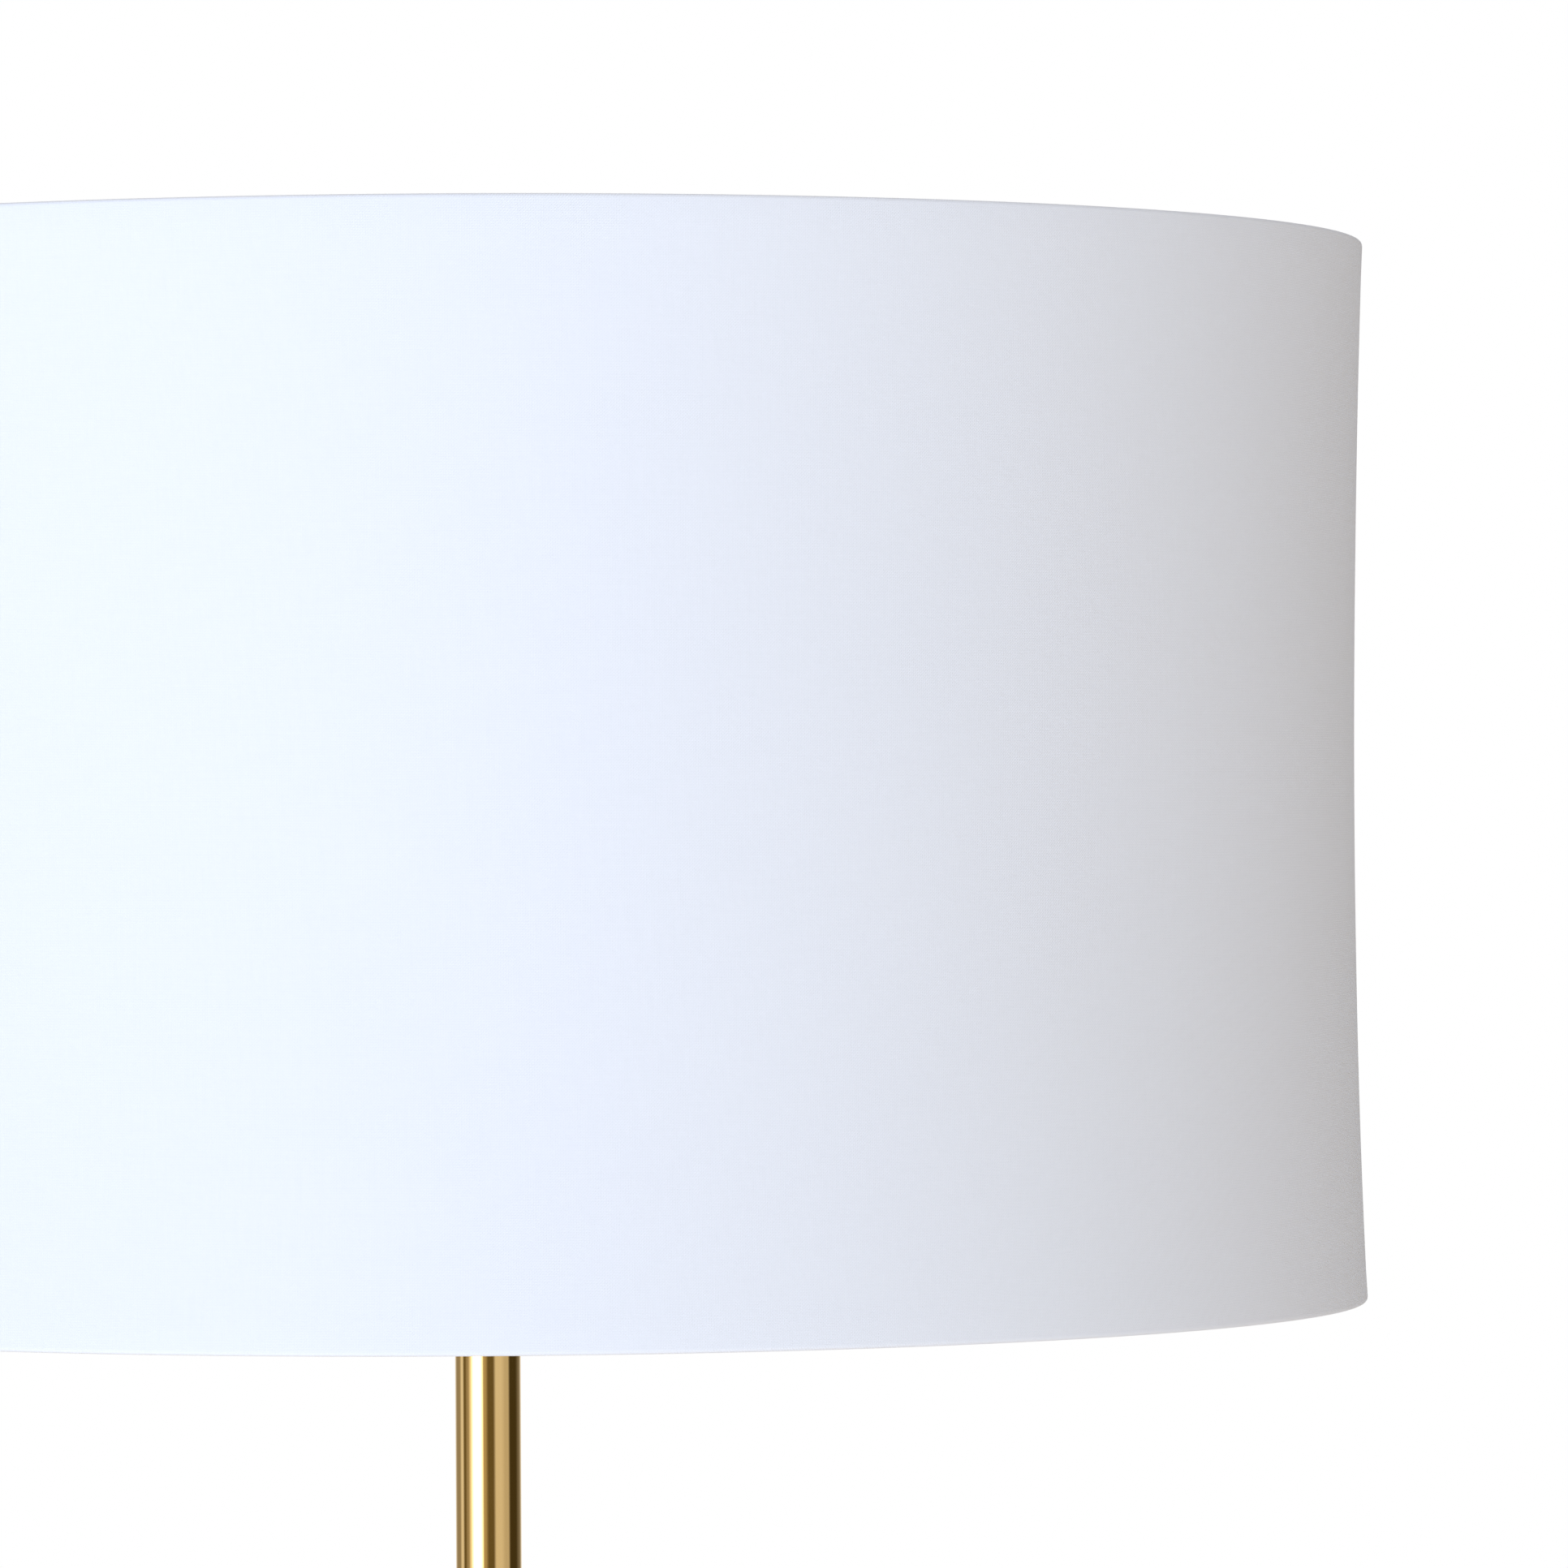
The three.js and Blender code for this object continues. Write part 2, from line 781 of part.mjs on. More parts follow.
const wallHeights = (low, high, steps) =>
  Array.from({ length: steps + 1 }, (_, i) => low + ((high - low) * i) / steps);

// The cloth's middle line from the turned-in hem at the bottom, up the wall, to the one at the top.
function clothLine() {
  const ringR = SHADE_RADIUS - RING_INSET;
  const ringZ = SHADE_TOP - RING_INSET;
  const hemR = SHADE_RADIUS - CLOTH - GAP - LINER - GAP - CLOTH / 2;
  const topHem = [
    ...arcPoints([ringR, ringZ], HEM_REACH, 0, 180, 3),
    [hemR - waist(SHADE_TOP - HEM_DEPTH), SHADE_TOP - HEM_DEPTH],
  ];
  const flip = ([r, z]) => [r, SHADE_TOP + SHADE_BOTTOM - z];
  const wall = wallHeights(SHADE_BOTTOM + 12, SHADE_TOP - 12, 4).map((z) => [
    SHADE_RADIUS - CLOTH / 2 - waist(z),
    z,
  ]);
  return [...topHem.map(flip).reverse(), ...wall, ...topHem];
}

// A closed loop of even thickness around an open line of [r, z] points.
function thickened(pairs, thickness) {
  const middle = points2(pairs);
  const offset = (side) =>
    middle.map((p, i) => {
      const before = middle[Math.max(i - 1, 0)];
      const after = middle[Math.min(i + 1, middle.length - 1)];
      const along = after.clone().sub(before).normalize();
      return [
        p.x + (side * along.y * thickness) / 2,
        p.y - (side * along.x * thickness) / 2,
      ];
    });
  return [...offset(1), ...offset(-1).reverse()];
}

const ARM_ANGLES = [90, 210, 330];
const ARM_WIRE = 1.6;

function buildShade() {
  const ringR = SHADE_RADIUS - RING_INSET;
  const ringTop = SHADE_TOP - RING_INSET;
  const ringBottom = SHADE_BOTTOM + RING_INSET;

  // The hem is notched where each spider arm runs out to the top ring.
  const notches = ARM_ANGLES.map((angle) =>
    block([ringR - 6, -2.5, SHADE_TOP - 20], [ringR - 1, 2.5, SHADE_TOP + 1]).rotateZ(
      THREE.MathUtils.degToRad(angle),
    ),
  );
  const cloth = cut(
    turned(thickened(clothLine(), CLOTH), SHADE_SIDES),
    ...notches,
  );
  place(shade, "shade_fabric", cloth, shadeCloth);

  const clear = RING_INSET + FRAME_WIRE + GAP;
  const linerR = SHADE_RADIUS - CLOTH - GAP;
  const heights = wallHeights(SHADE_BOTTOM + clear, SHADE_TOP - clear, 4);
  const liner = [
    ...heights.map((z) => [linerR - waist(z), z]),
    ...heights.reverse().map((z) => [linerR - LINER - waist(z), z]),
  ];
  place(shade, "shade_liner", turned(liner, SHADE_SIDES), linerFilm);

  for (const [name, z] of [
    ["shade_top_ring", ringTop],
    ["shade_bottom_ring", ringBottom],
  ]) {
    const wire = arcPoints([ringR, z], FRAME_WIRE, 0, 288, 4);
    place(shade, name, turned(wire, SHADE_SIDES), zincSteel);
  }

  const hubZ = POLE_TOP + (HUB_BOTTOM + HUB_TOP) / 2;
  const hub = ringProfile(3.5, 9, POLE_TOP + HUB_BOTTOM, POLE_TOP + HUB_TOP);
  place(shade, "spider_hub", turned(hub, SMALL_SIDES), plainBrass);
  const arm = smooth([
    [9 + GAP, 0, hubZ],
    [20, 0, hubZ],
    [34, 0, hubZ + 3],
    [52, 0, ringTop - 1],
    [70, 0, ringTop],
    [ringR - FRAME_WIRE - GAP, 0, ringTop],
  ]);
  ARM_ANGLES.forEach((angle, i) => {
    const wire = swept(arm, ARM_WIRE, 0, 6, 10);
    const mesh = place(shade, `spider_arm_${i + 1}`, wire, plainBrass);
    mesh.rotation.z = THREE.MathUtils.degToRad(angle);
  });
}

// ---------------------------------------------------------------- wiring held inside
const CORD_RADIUS = 2.2;
const STEPS_PER_POINT = 2;

// A curve whose steps are shared evenly between its points, so that a tight bend between close
// points gets as many as a long straight run.
class Route extends THREE.CatmullRomCurve3 {
  getUtoTmapping(u) {
    return u;
  }
}

function buildWiring() {
  const leans = [0.84, 0.68, 0.52, 0.36, 0.2, 0.05].map((k) => k * ARC_ANGLE);
  const stops = [
    [0, BASE_RADIUS + 2, GLAND_HEIGHT],
    [0, 140, GLAND_HEIGHT],
    [0, 90, 6.4],
    [0, 30, 5],
    [0, 9, 4.8],
    [0, 3, 5.6],
    [0, 0.3, 8.6],
    [0, 0, 13],
    [0, 0, 30],
    [0, 0, FOOT_Z + 6.7],
    [1.6, 0, FOOT_Z + 10.7],
    [5, 0, FOOT_Z + 13.3],
    [10, 0, FOOT_Z + 15.7],
    [14.5, 0, FOOT_Z + 17.9],
    ...[30, 45, 60].map((along) => footPoint(along).toArray()),
    ...leans.map((lean) => arcPoint(lean).toArray()),
    [SHADE_X, 0, ARC_TOP + 60],
    [SHADE_X, 0, ARC_TOP + 200],
    [SHADE_X, 0, POLE_TOP + 23.5],
  ].map((stop) => new THREE.Vector3(...stop));
  const route = new Route(stops, false, "centripetal");
  const steps = STEPS_PER_POINT * (stops.length - 1);
  const cord = swept(route, CORD_RADIUS, 0, 8, steps);
  place(lamp, "lamp_cord_inside", cord, goldInsulation);

  for (const [name, side] of [
    ["hot", -1],
    ["neutral", 1],
  ]) {
    const lead = smooth([
      [side * 1.5, 0, 24],
      [side * 3.2, 0, 27],
      [side * 8, 0, 30],
      [side * 12.6, 0, 32.5],
      [side * 13.8, 0, 38.4],
    ]);
    place(head, `lead_${name}`, swept(lead, 1, 0, 6, 10), copper);
  }
}

buildBase();
buildFoot();
buildPole();
buildNeck();
buildSocket();
buildSwitch();
buildBulb();
buildHarp();
buildFinial();
buildShade();
buildWiring();

export default lamp;
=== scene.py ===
"""The looks of an arched brass floor lamp with a white drum shade, built round its CAD frame.

Outlines, routes and places are in millimetres until shaped() makes a mesh in metres of them.
"""

import json
import math

import bmesh
import bpy
from mathutils import Matrix, Vector, noise


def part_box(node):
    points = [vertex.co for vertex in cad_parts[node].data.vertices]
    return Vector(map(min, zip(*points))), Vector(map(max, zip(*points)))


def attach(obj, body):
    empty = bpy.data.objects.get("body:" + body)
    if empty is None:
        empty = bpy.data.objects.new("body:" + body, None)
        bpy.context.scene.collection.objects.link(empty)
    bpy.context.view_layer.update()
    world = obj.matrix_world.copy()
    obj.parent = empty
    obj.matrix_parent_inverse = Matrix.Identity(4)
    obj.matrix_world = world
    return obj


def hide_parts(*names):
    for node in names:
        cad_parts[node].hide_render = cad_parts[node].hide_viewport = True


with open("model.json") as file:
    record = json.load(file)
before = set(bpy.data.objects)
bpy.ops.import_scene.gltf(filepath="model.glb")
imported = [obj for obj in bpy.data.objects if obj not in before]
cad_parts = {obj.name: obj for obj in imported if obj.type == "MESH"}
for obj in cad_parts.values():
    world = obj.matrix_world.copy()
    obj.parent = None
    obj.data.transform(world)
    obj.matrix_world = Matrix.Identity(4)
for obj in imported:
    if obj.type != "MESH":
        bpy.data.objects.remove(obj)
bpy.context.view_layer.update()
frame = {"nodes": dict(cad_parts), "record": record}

MM = 0.001


# ------------------------------------------------------------------ places taken from the frame
def low(node):
    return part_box(node)[0] / MM


def high(node):
    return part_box(node)[1] / MM


SHADE_TOP = high("shade_fabric").z
SHADE_BOTTOM = low("shade_fabric").z
SHADE_HEIGHT = SHADE_TOP - SHADE_BOTTOM
SHADE_RADIUS = (high("shade_fabric").x - low("shade_fabric").x) / 2
SHADE_X = high("shade_fabric").x - SHADE_RADIUS
POLE_TOP = high("pole_upper").z
BASE_RADIUS = high("base_cover").x
BASE_TOP = high("base_cover").z
FOOT_Z = low("pole_foot").z
ARC_TOP = (low("upper_coupling_ring").z + high("upper_coupling_ring").z) / 2
ARC_RADIUS = 1300
ARC_LEAN = math.radians(46)
FOOT_LENGTH = 62
FOOT_RADIUS = 16
POLE_RADIUS = 9.5
STEM_CLEAR = 8.3  # bore of the pieces over the base's threaded stem

HEAD = Matrix.Translation((SHADE_X, 0, POLE_TOP))
SHADE_AXIS = Matrix.Translation((SHADE_X, 0, 0))
FOOT = Matrix.Translation((0, 0, FOOT_Z)) @ Matrix.Rotation(ARC_LEAN, 4, "Y")
ARM_ANGLES = [math.radians(a) for a in (90, 210, 330)]

# ------------------------------------------------------------------ camera
CAMERA_DISTANCE = 2650
CAMERA_RIGHT = 86.5
CAMERA_BELOW_MIDDLE = 4.4
CAMERA_PITCH = math.radians(0.037)
CAMERA_ROLL = math.radians(-0.302)
LENS = 210.4


def build_camera():
    data = bpy.data.cameras.new("camera")
    data.lens = LENS
    data.sensor_width = 36
    data.clip_end = 60
    camera = bpy.data.objects.new("camera", data)
    middle = (SHADE_TOP + SHADE_BOTTOM) / 2
    place = Vector((SHADE_X + CAMERA_RIGHT, -CAMERA_DISTANCE, middle - CAMERA_BELOW_MIDDLE))
    pitch = Matrix.Rotation(math.pi / 2 + CAMERA_PITCH, 4, "X")
    roll = Matrix.Rotation(CAMERA_ROLL, 4, "Z")
    camera.matrix_world = Matrix.Translation(place * MM) @ pitch @ roll
    bpy.context.scene.collection.objects.link(camera)
    bpy.context.scene.camera = camera


# ------------------------------------------------------------------ node graphs
class Graph:
    """Adds nodes to a node tree, with inputs given as values or as other nodes' outputs."""

    def __init__(self, tree):
        self.tree = tree

    def feed(self, socket, value):
        if isinstance(value, bpy.types.NodeSocket):
            self.tree.links.new(value, socket)
        else:
            socket.default_value = value

    def add(self, kind, inputs, output=0, **settings):
        node = self.tree.nodes.new(kind)
        for key, value in settings.items():
            setattr(node, key, value)
        for key, value in inputs.items():
            self.feed(node.inputs[key], value)
        return node.outputs[output]

    def math(self, operation, *values):
        return self.add("ShaderNodeMath", dict(enumerate(values)), operation=operation)

    def vector(self, operation, inputs, output=0):
        return self.add("ShaderNodeVectorMath", inputs, output, operation=operation)

    def mix(self, factor, a, b):
        return self.add("ShaderNodeMix", {0: factor, 6: a, 7: b}, 2, data_type="RGBA")

    def parts(self, vector):
        return self.add("ShaderNodeSeparateXYZ", {"Vector": vector}).node.outputs

    def ramp(self, factor, stops):
        node = self.add("ShaderNodeValToRGB", {"Fac": factor}).node
        elements = node.color_ramp.elements
        first, *others, last = stops
        for element, (position, color) in zip(elements, (first, last)):
            element.position = position
            element.color = (*color, 1)
        for position, color in others:
            elements.new(position).color = (*color, 1)
        return node.outputs[0]

    def range(self, value, low_in, high_in, low_out, high_out):
        inputs = {
            "Value": value,
            "From Min": low_in,
            "From Max": high_in,
            "To Min": low_out,
            "To Max": high_out,
        }
        return self.add("ShaderNodeMapRange", inputs, interpolation_type="SMOOTHSTEP")

    def noise(self, vector, scale, detail=2.0, roughness=0.5):
        inputs = {
            "Vector": vector,
            "Scale": scale,
            "Detail": detail,
            "Roughness": roughness,
        }
        return self.add("ShaderNodeTexNoise", inputs)

    def stretched(self, vector, x, y):
        return self.vector("MULTIPLY", {0: vector, 1: (x, y, 1.0)})

    def bump(self, height, distance, normal=None):
        inputs = {"Height": height, "Distance": distance}
        if normal is not None:
            inputs["Normal"] = normal
        return self.add("ShaderNodeBump", inputs)


# ------------------------------------------------------------------ studio
# The strip lights, panels and flags that polished metal reflects. Each reaches from one azimuth
# to another, in degrees, 0 towards the camera and positive to its right, and each has how bright
# and how warm it is. One fades into the next.
STUDIO_STRIPS = (
    (-180, -165, 0.95, 0.0),  # glow behind the lamp
    (-140, -117, 0.32, 0.4),  # dim wall at the back left
    (-105, -100, 0.82, 0.0),  # narrow strip light
    (-92, -86, 0.15, 1.0),  # dark flag
    (-77, -72, 0.37, 0.5),  # warm hood of the softbox
    (-63, -61, 1.05, 0.2),  # its bright inner edge
    (-50, -26, 4.00, 0.0),  # large softbox
    (-14, -8, 0.47, 0.7),  # its warm spill
    (2, 20, 0.14, 1.0),  # darkness around the camera
    (29, 48, 0.73, 0.1),  # broad pale panel
    (64, 76, 0.57, 0.2),  # its dimmer far half
    (84, 115, 0.06, 1.0),  # black flag
    (136, 142, 0.21, 0.3),  # dim wall at the back right
    (165, 180, 0.95, 0.0),  # glow behind the lamp
)
STRIP_PEAK = 4.0  # the brightest of them, which the colour ramp holds as 1
WARM = (1.0, 0.78, 0.32)  # the tint of a strip whose warmth is 1
ROOM = (0.73, 0.68, 0.60)
KEY = (0.96, 1.17, 1.57)  # added to the room on one side and taken away on the other
KEY_AZIMUTH = math.radians(-26)
BACK = (0.70, 0.85, 1.00)
BACK_AZIMUTH = math.radians(148)
BACK_FOCUS = 4.0  # how narrow the light behind the lamp is
OVERHEAD_LOSS = 0.35  # how much weaker the soft light is from overhead
OVERHEAD_RISE = (0.15, 0.85)  # the height of its direction where that starts and is full
FLOOR_GAIN = 0.5  # how much stronger it is from below
FLOOR_RISE = (-0.7, -0.1)  # the height of its direction where that is full and ends
CEILING = (0.72, 0.73, 0.75, 1)
CEILING_RISE = (0.25, 0.8)  # where the strips start to fade into the ceiling and are gone
WHITE = (1, 1, 1, 1)


def level(azimuth):
    """The level direction at an azimuth, 0 towards the camera and positive to its right."""
    return (math.sin(azimuth), -math.cos(azimuth), 0)


def build_world():
    world = bpy.data.worlds.new("studio")
    bpy.context.scene.world = world
    world.use_nodes = True
    world.node_tree.nodes.clear()
    g = Graph(world.node_tree)
    direction = g.add("ShaderNodeTexCoord", {}, "Generated")
    x, y, z = g.parts(direction)

    # Soft light for matt surfaces: a room that is brighter and cooler at the front left, with
    # a weaker light behind the lamp. Less of it comes from overhead, and more from the pale
    # studio floor.
    towards = g.vector("DOT_PRODUCT", {0: direction, 1: level(KEY_AZIMUTH)}, "Value")
    glow = g.vector("SCALE", {0: KEY, "Scale": towards})
    room = g.vector("MAXIMUM", {0: g.vector("ADD", {0: ROOM, 1: glow}), 1: (0, 0, 0)})
    behind = g.vector("DOT_PRODUCT", {0: direction, 1: level(BACK_AZIMUTH)}, "Value")
    spread = g.math("POWER", g.math("MAXIMUM", behind, 0.0), BACK_FOCUS)
    back = g.vector("SCALE", {0: BACK, "Scale": spread})
    around = g.vector("ADD", {0: room, 1: back})
    kept = g.range(z, *OVERHEAD_RISE, 1.0, 1 - OVERHEAD_LOSS)
    gained = g.range(z, *FLOOR_RISE, 1 + FLOOR_GAIN, 1.0)
    soft = g.vector("SCALE", {0: around, "Scale": g.math("MULTIPLY", kept, gained)})

    # The strips and flags round the lamp, fading into an even ceiling overhead. They reach
    # further down than up, so that metal seen from above shows them too.
    azimuth = g.math("ARCTAN2", x, g.math("MULTIPLY", y, -1.0))
    turn = g.math("MULTIPLY_ADD", azimuth, 1 / math.tau, 0.5)
    stops = []
    for start, end, bright, warmth in STUDIO_STRIPS:
        color = [bright / STRIP_PEAK * (1 + warmth * (c - 1)) for c in WARM]
        stops += [(0.5 + start / 360, color), (0.5 + end / 360, color)]
    ring = g.vector("SCALE", {0: g.ramp(turn, stops), "Scale": STRIP_PEAK})
    steepness = g.range(z, *CEILING_RISE, 0.0, 1.0)
    shiny = g.mix(steepness, ring, CEILING)

    ray = g.add("ShaderNodeLightPath", {}).node.outputs
    lighting = g.mix(ray["Is Glossy Ray"], soft, shiny)
    seen = g.mix(ray["Is Camera Ray"], lighting, WHITE)
    background = g.add("ShaderNodeBackground", {"Color": seen})
    end = world.node_tree.nodes.new("ShaderNodeOutputWorld")
    world.node_tree.links.new(background, end.inputs["Surface"])
    bpy.context.scene.view_settings.view_transform = "Standard"


def build_floor():
    half = 9.0
    corners = [(-half, -half, 0), (half, -half, 0), (half, half, 0), (-half, half, 0)]
    mesh = bpy.data.meshes.new("floor")
    mesh.from_pydata(corners, [], [(0, 1, 2, 3)])
    floor = bpy.data.objects.new("floor", mesh)
    bpy.context.scene.collection.objects.link(floor)
    # The floor is seen, but it doesn't light the lamp or show in its reflections.
    floor.visible_glossy = False
    floor.visible_diffuse = False
    mat, g, shader = new_material("studio_floor", {"Roughness": 0.85})
    place = g.add("ShaderNodeTexCoord", {}, "Object")
    pale = [(0.3, (0.90, 0.90, 0.90)), (0.7, (0.93, 0.93, 0.93))]
    g.feed(shader["Base Color"], g.ramp(g.noise(place, 1.5, 4.0), pale))
    mesh.materials.append(mat)


# ------------------------------------------------------------------ materials
def new_material(name, values):
    mat = bpy.data.materials.new(name)
    mat.use_nodes = True
    shader = next(n for n in mat.node_tree.nodes if n.type == "BSDF_PRINCIPLED")
    for key, value in values.items():
        shader.inputs[key].default_value = value
    return mat, Graph(mat.node_tree), shader.inputs


def object_place(g):
    return g.add("ShaderNodeTexCoord", {}, "Object")


def length_place(g):
    return g.add("ShaderNodeUVMap", {}, uv_map="length")


def metal(name, color, worn, smooth, rough, grain=0.0, grain_scale=(1, 1)):
    """A bare metal: its colour drifts to worn in patches, its polish from smooth to rough."""
    mat, g, shader = new_material(name, {"Metallic": 1.0})
    place = object_place(g)
    patches = g.noise(place, 9.0, 4.0, 0.6)
    g.feed(shader["Base Color"], g.ramp(patches, [(0.35, color), (0.75, worn)]))
    smudges = g.noise(place, 55.0, 5.0, 0.65)
    g.feed(shader["Roughness"], g.range(smudges, 0.3, 0.75, smooth, rough))
    height = g.noise(place, 24.0, 2.0)
    normal = g.bump(height, 0.00002)
    if grain > 0:
        lines = g.noise(g.stretched(length_place(g), *grain_scale), 1.0, 3.0, 0.7)
        normal = g.bump(lines, grain, normal=normal)
    g.feed(shader["Normal"], normal)
    return mat


THREAD = 0.00042  # metres from one thread of the weave to the next


def shade_cloth():
    values = {
        "Roughness": 0.92,
        "Specular IOR Level": 0.25,
        "Sheen Weight": 0.12,
        "Sheen Roughness": 0.5,
    }
    mat, g, shader = new_material("shade_cloth", values)
    place = length_place(g)
    u, v, _ = g.parts(place)

    # Slubs: each thread is a little thicker, thinner or greyer along its length.
    across = g.noise(g.stretched(place, 60, 1500), 1.0, 3.0, 0.6)
    along = g.noise(g.stretched(place, 1500, 60), 1.0, 3.0, 0.6)
    slubs = g.math("ADD", g.math("MULTIPLY", across, 0.5), g.math("MULTIPLY", along, 0.5))
    drift = g.noise(place, 9.0, 3.0)
    shade = g.math("MULTIPLY_ADD", drift, 0.25, g.math("MULTIPLY", slubs, 0.75))

    # Plain weave: warp and weft take turns on top.
    weft = g.math("ABSOLUTE", g.math("SINE", g.math("MULTIPLY", u, math.pi / THREAD)))
    warp = g.math("ABSOLUTE", g.math("SINE", g.math("MULTIPLY", v, math.pi / THREAD)))
    over = g.add("ShaderNodeTexChecker", {"Vector": place, "Scale": 1 / THREAD}, "Fac")
    weave = g.math("MULTIPLY_ADD", over, g.math("SUBTRACT", weft, warp), warp)

    tone = g.math("MULTIPLY_ADD", weave, 0.10, shade)
    stops = [(0.3, (0.822, 0.832, 0.860)), (0.75, (0.850, 0.860, 0.888))]
    g.feed(shader["Base Color"], g.ramp(tone, stops))
    thickness = g.bump(slubs, 0.00005)
    g.feed(shader["Normal"], g.bump(weave, 0.00005, normal=thickness))
    return mat


def liner_film():
    values = {"Roughness": 0.5, "Specular IOR Level": 0.4}
    mat, g, shader = new_material("liner_film", values)
    place = object_place(g)
    stops = [(0.3, (0.83, 0.83, 0.82)), (0.7, (0.87, 0.87, 0.86))]
    g.feed(shader["Base Color"], g.ramp(g.noise(place, 12.0, 3.0), stops))
    g.feed(shader["Normal"], g.bump(g.noise(place, 18.0, 2.0), 0.0004))
    return mat


def felt():
    mat, g, shader = new_material("felt", {"Roughness": 1.0, "Sheen Weight": 0.4})
    place = object_place(g)
    fibres = g.noise(place, 900.0, 4.0, 0.7)
    stops = [(0.3, (0.018, 0.018, 0.02)), (0.75, (0.07, 0.07, 0.075))]
    g.feed(shader["Base Color"], g.ramp(fibres, stops))
    g.feed(shader["Normal"], g.bump(fibres, 0.0006))
    return mat


def cast_iron():
    mat, g, shader = new_material("cast_iron", {"Metallic": 0.6})
    place = object_place(g)
    grains = g.noise(place, 320.0, 5.0, 0.7)
    stops = [(0.3, (0.03, 0.03, 0.032)), (0.7, (0.10, 0.095, 0.09))]
    g.feed(shader["Base Color"], g.ramp(grains, stops))
    g.feed(shader["Roughness"], g.range(grains, 0.3, 0.7, 0.65, 0.9))
    g.feed(shader["Normal"], g.bump(grains, 0.0008))
    return mat


def moulded(name, dark, pale, roughness, scale=350.0, depth=0.00008, **values):
    mat, g, shader = new_material(name, values)
    place = object_place(g)
    grains = g.noise(place, scale, 3.0, 0.6)
    g.feed(shader["Base Color"], g.ramp(grains, [(0.3, dark), (0.7, pale)]))
    g.feed(shader["Roughness"], g.range(grains, 0.3, 0.7, roughness - 0.08, roughness + 0.08))
    g.feed(shader["Normal"], g.bump(grains, depth))
    return mat


def build_materials():
    gold = (0.92, 0.655, 0.300)
    deep = (0.88, 0.600, 0.255)
    spun = {"grain": 0.000004, "grain_scale": (3, 9000)}
    glassy = {"Coat Weight": 0.25}
    return {
        "polished_brass": metal("polished_brass", gold, deep, 0.035, 0.085),
        "spun_brass": metal("spun_brass", gold, deep, 0.06, 0.12, **spun),
        "plain_brass": metal("plain_brass", (0.80, 0.60, 0.32), (0.66, 0.47, 0.23), 0.22, 0.4),
        "zinc_steel": metal("zinc_steel", (0.66, 0.67, 0.68), (0.52, 0.53, 0.55), 0.28, 0.45),
        "aluminium": metal("aluminium", (0.80, 0.81, 0.82), (0.68, 0.69, 0.71), 0.2, 0.38),
        "cast_iron": cast_iron(),
        "felt": felt(),
        "shade_cloth": shade_cloth(),
        "liner_film": liner_film(),
        "frosted_glass": moulded(
            "frosted_glass", (0.89, 0.885, 0.87), (0.92, 0.915, 0.90), 0.3, 60.0, 0.00001, **glassy
        ),
        "black_resin": moulded("black_resin", (0.012, 0.012, 0.013), (0.03, 0.03, 0.032), 0.42),
        "insulating_card": moulded(
            "insulating_card", (0.34, 0.26, 0.17), (0.50, 0.41, 0.29), 0.9, 700.0, 0.0003
        ),
        "cord_insulation": moulded(
            "cord_insulation", (0.52, 0.40, 0.20), (0.62, 0.50, 0.28), 0.35, 90.0, 0.00005
        ),
    }


# ------------------------------------------------------------------ mesh tools
CREASE = 38  # an edge that turns by more degrees than this is shaded as a sharp one


def shaped(name, points, faces, uvs, material, matrix=None, sharp=CREASE):
    """A mesh object, in metres, of points in millimetres. uvs has a list for each face, with
    the place of each of its points on the length map, in millimetres."""
    if matrix is not None:
        points = [matrix @ Vector(p) for p in points]
    mesh = bpy.data.meshes.new(name)
    mesh.from_pydata([Vector(p) * MM for p in points], [], faces)
    mesh.polygons.foreach_set("use_smooth", [True] * len(faces))
    mesh.set_sharp_from_angle(angle=math.radians(sharp))
    layer = mesh.uv_layers.new(name="length")
    flat = [c * MM for face in uvs for uv in face for c in uv]
    layer.data.foreach_set("uv", flat)
    mesh.materials.append(material)
    piece = bpy.data.objects.new(name, mesh)
    bpy.context.scene.collection.objects.link(piece)
    return piece


CORNER_STEPS = 5


def rounded(outline, steps=CORNER_STEPS):
    """Rounds each corner of an outline that gives a reach as its third number."""
    done = []
    for i, corner in enumerate(outline):
        if len(corner) < 3:
            done.append(Vector(corner))
            continue
        point = Vector(corner[:2])
        before = Vector(outline[i - 1][:2])
        after = Vector(outline[(i + 1) % len(outline)][:2])
        start = point + (before - point).normalized() * corner[2]
        end = point + (after - point).normalized() * corner[2]
        for k in range(steps + 1):
            t = k / steps
            done.append(start * (1 - t) ** 2 + point * 2 * t * (1 - t) + end * t**2)
    return [tuple(p) for p in done]


def travelled(points):
    """How far along a line each of its points is."""
    far = [0.0]
    for a, b in zip(points, points[1:]):
        far.append(far[-1] + math.dist(a, b))
    return far


def smooth_line(points, steps=8):
    """A centripetal Catmull-Rom line through 2-D points."""
    stops = [Vector(p) for p in points]
    stops = [2 * stops[0] - stops[1], *stops, 2 * stops[-1] - stops[-2]]
    line = []
    for p0, p1, p2, p3 in zip(stops, stops[1:], stops[2:], stops[3:]):
        t0 = 0.0
        t1 = t0 + (p1 - p0).length ** 0.5
        t2 = t1 + (p2 - p1).length ** 0.5
        t3 = t2 + (p3 - p2).length ** 0.5
        for k in range(steps):
            t = t1 + (t2 - t1) * k / steps
            a1 = p0.lerp(p1, (t - t0) / (t1 - t0))
            a2 = p1.lerp(p2, (t - t1) / (t2 - t1))
            a3 = p2.lerp(p3, (t - t2) / (t3 - t2))
            b1 = a1.lerp(a2, (t - t0) / (t2 - t0))
            b2 = a2.lerp(a3, (t - t1) / (t3 - t1))
            line.append(tuple(b1.lerp(b2, (t - t1) / (t2 - t1))))
    return [*line, tuple(stops[-2])]


